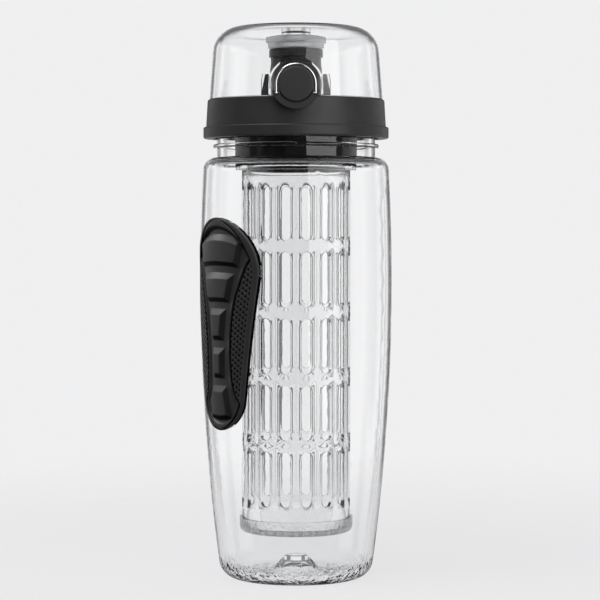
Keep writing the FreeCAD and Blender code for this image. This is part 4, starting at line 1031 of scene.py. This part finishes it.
tree, given = new_shape_tree("neck_thread", THREAD)
standing = output_of(tree, "GeometryNodeSetCurveNormal", {"Curve": helix_nodes(tree, given)},
                     mode="Z_UP")
sunk = times(tree, given["Depth"], SUNK_SHARE)
section = add_node(tree, "GeometryNodeCurvePrimitiveQuadrilateral", mode="POINTS")
corners = ((sunk, "Root Half", 1), (given["Depth"], "Crest Half", 1),
           (given["Depth"], "Crest Half", -1), (sunk, "Root Half", -1))
for number, (reach, half, side) in enumerate(corners, 1):
    corner = vector(tree, X=reach, Y=times(tree, given[half], side))
    tree.links.new(corner, section.inputs["Point " + str(number)])
way = add_node(tree, "GeometryNodeSplineParameter").outputs["Factor"]
from_end = math_node(tree, "MINIMUM", way, math_node(tree, "SUBTRACT", 1, way))
fade = smooth_range(tree, from_end, 0, given["Fade"], THIN_END, 1)
swept = output_of(tree, "GeometryNodeCurveToMesh",
                  {"Curve": standing, "Profile Curve": section.outputs[0], "Scale": fade,
                   "Fill Caps": True})
put = output_of(tree, "GeometryNodeTransform", {"Geometry": swept, "Translation": given["Place"]})
close_tree(tree, put, bottle_clear)
thread_mesh = baked("neck_thread", bpy.data.meshes.new("neck_thread_start"), tree, THREAD)
set_piece("neck_thread", thread_mesh, bottle_clear, "bottle", "clear_plastic")

# %% [markdown]
# ## Seal and gasket
# Both soft pieces are round, so each is an outline turned about the axis. Soft pieces have no sharp
# edges: every corner of the outline is cut back and bridged by a short curve before it is turned.

# %% Helpers for turned pieces
CURVE_POINTS = 6
SEGMENTS = 144


def rounded(corners, radius, closed):
    """The outline with its corners softened; the ends of an open outline stay as they are."""
    spots = [np.array(corner, dtype=float) for corner in corners]
    outline = []
    for number, spot in enumerate(spots):
        if not closed and number in (0, len(spots) - 1):
            outline.append(spot)
            continue
        arms = [spots[number - 1] - spot, spots[(number + 1) % len(spots)] - spot]
        start, end = [spot + arm * min(radius / np.linalg.norm(arm), 0.5) for arm in arms]
        for share in np.linspace(0, 1, CURVE_POINTS):
            back = 1 - share
            outline.append(back ** 2 * start + 2 * share * back * spot + share ** 2 * end)
    return np.array(outline)


def turned_mesh(name, outline, closed):
    """An outline of radius and height in mm, turned about the axis."""
    angle = np.linspace(0, 2 * math.pi, SEGMENTS, endpoint=False)[:, None]
    radius = outline[None, :, 0]
    height = np.repeat(outline[None, :, 1], SEGMENTS, axis=0)
    points = np.stack((radius * np.cos(angle), radius * np.sin(angle), height), axis=-1)
    count = len(outline)
    here = np.arange(count if closed else count - 1)[None, :]
    there = (here + 1) % count
    first = np.arange(SEGMENTS)[:, None] * count
    second = np.roll(first, -1, axis=0)
    quads = np.stack((first + here, second + here, second + there, first + there), axis=-1)
    mesh = bpy.data.meshes.new(name)
    mesh.from_pydata((points.reshape(-1, 3) * MM).tolist(), [], quads.reshape(-1, 4).tolist())
    tidy_mesh(mesh)
    return mesh


print("turning helpers ready")

# %% The spout's seal and the neck's gasket
SEAL_OUTLINE = ((0, 252.6), (7.4, 252.6), (8.0, 254.0), (13.4, 254.0), (13.4, 256.9),
                (14.4, 256.9), (14.4, 260.2), (7.05, 260.2), (7.05, 257.7), (0, 257.7))
SEAL_ROUND = 0.35
GASKET_OUTLINE = ((35.6, 221.25), (37.65, 221.25), (37.65, 222.85), (35.6, 222.85))
GASKET_ROUND = 0.5

seal_mesh = turned_mesh("seal_disc", rounded(SEAL_OUTLINE, SEAL_ROUND, False), False)
set_piece("seal_disc", seal_mesh, seal_frosty, "cap", "clear_seal", "spout_seal")
gasket_mesh = turned_mesh("gasket_ring", rounded(GASKET_OUTLINE, GASKET_ROUND, True), True)
set_piece("gasket_ring", gasket_mesh, seal_frosty, "seal_ring", "clear_seal", "neck_gasket")

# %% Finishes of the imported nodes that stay
STAYING = {
    "bottle_body": bottle_clear, "flip_cap": cap_clear, "infuser_base": strainer_clear,
    "lid_collar": lid_black, "lid_deck": skirt_painted_shade, "release_button": lid_black,
    "drinking_spout": spout_dark, "lock_bail": wire_bright, "hinge_pin": spring_steel,
}
for name, finish in STAYING.items():
    nodes_by_name[name].data.materials[0] = finish
print(len(STAYING), "packed nodes dressed")

# %% [markdown]
# ## Lamps and cards
# The lamp behind on the left grazes the grip's pads, so that their upper facets shine, and the lamp
# above lights the black pieces. Both would also throw white patches on the clear walls. A
# photographer holds such a lamp off with a card; light linking does the same here.


# %% Hold two lamps off the clear walls
def hold_off(lamp, pieces, state):
    """Name the pieces that a lamp lights, or the ones that it passes by."""
    listed = bpy.data.collections.new(lamp.name + "_card")
    for piece in pieces:
        listed.objects.link(piece)
    for entry in listed.collection_objects:
        entry.light_linking.link_state = state
    lamp.light_linking.receiver_collection = listed
    print(lamp.name, state.lower(), [piece.name for piece in pieces])


hold_off(rear_softbox, [grip], "INCLUDE")
hold_off(top_softbox, [nodes_by_name["flip_cap"], nodes_by_name["bottle_body"]], "EXCLUDE")
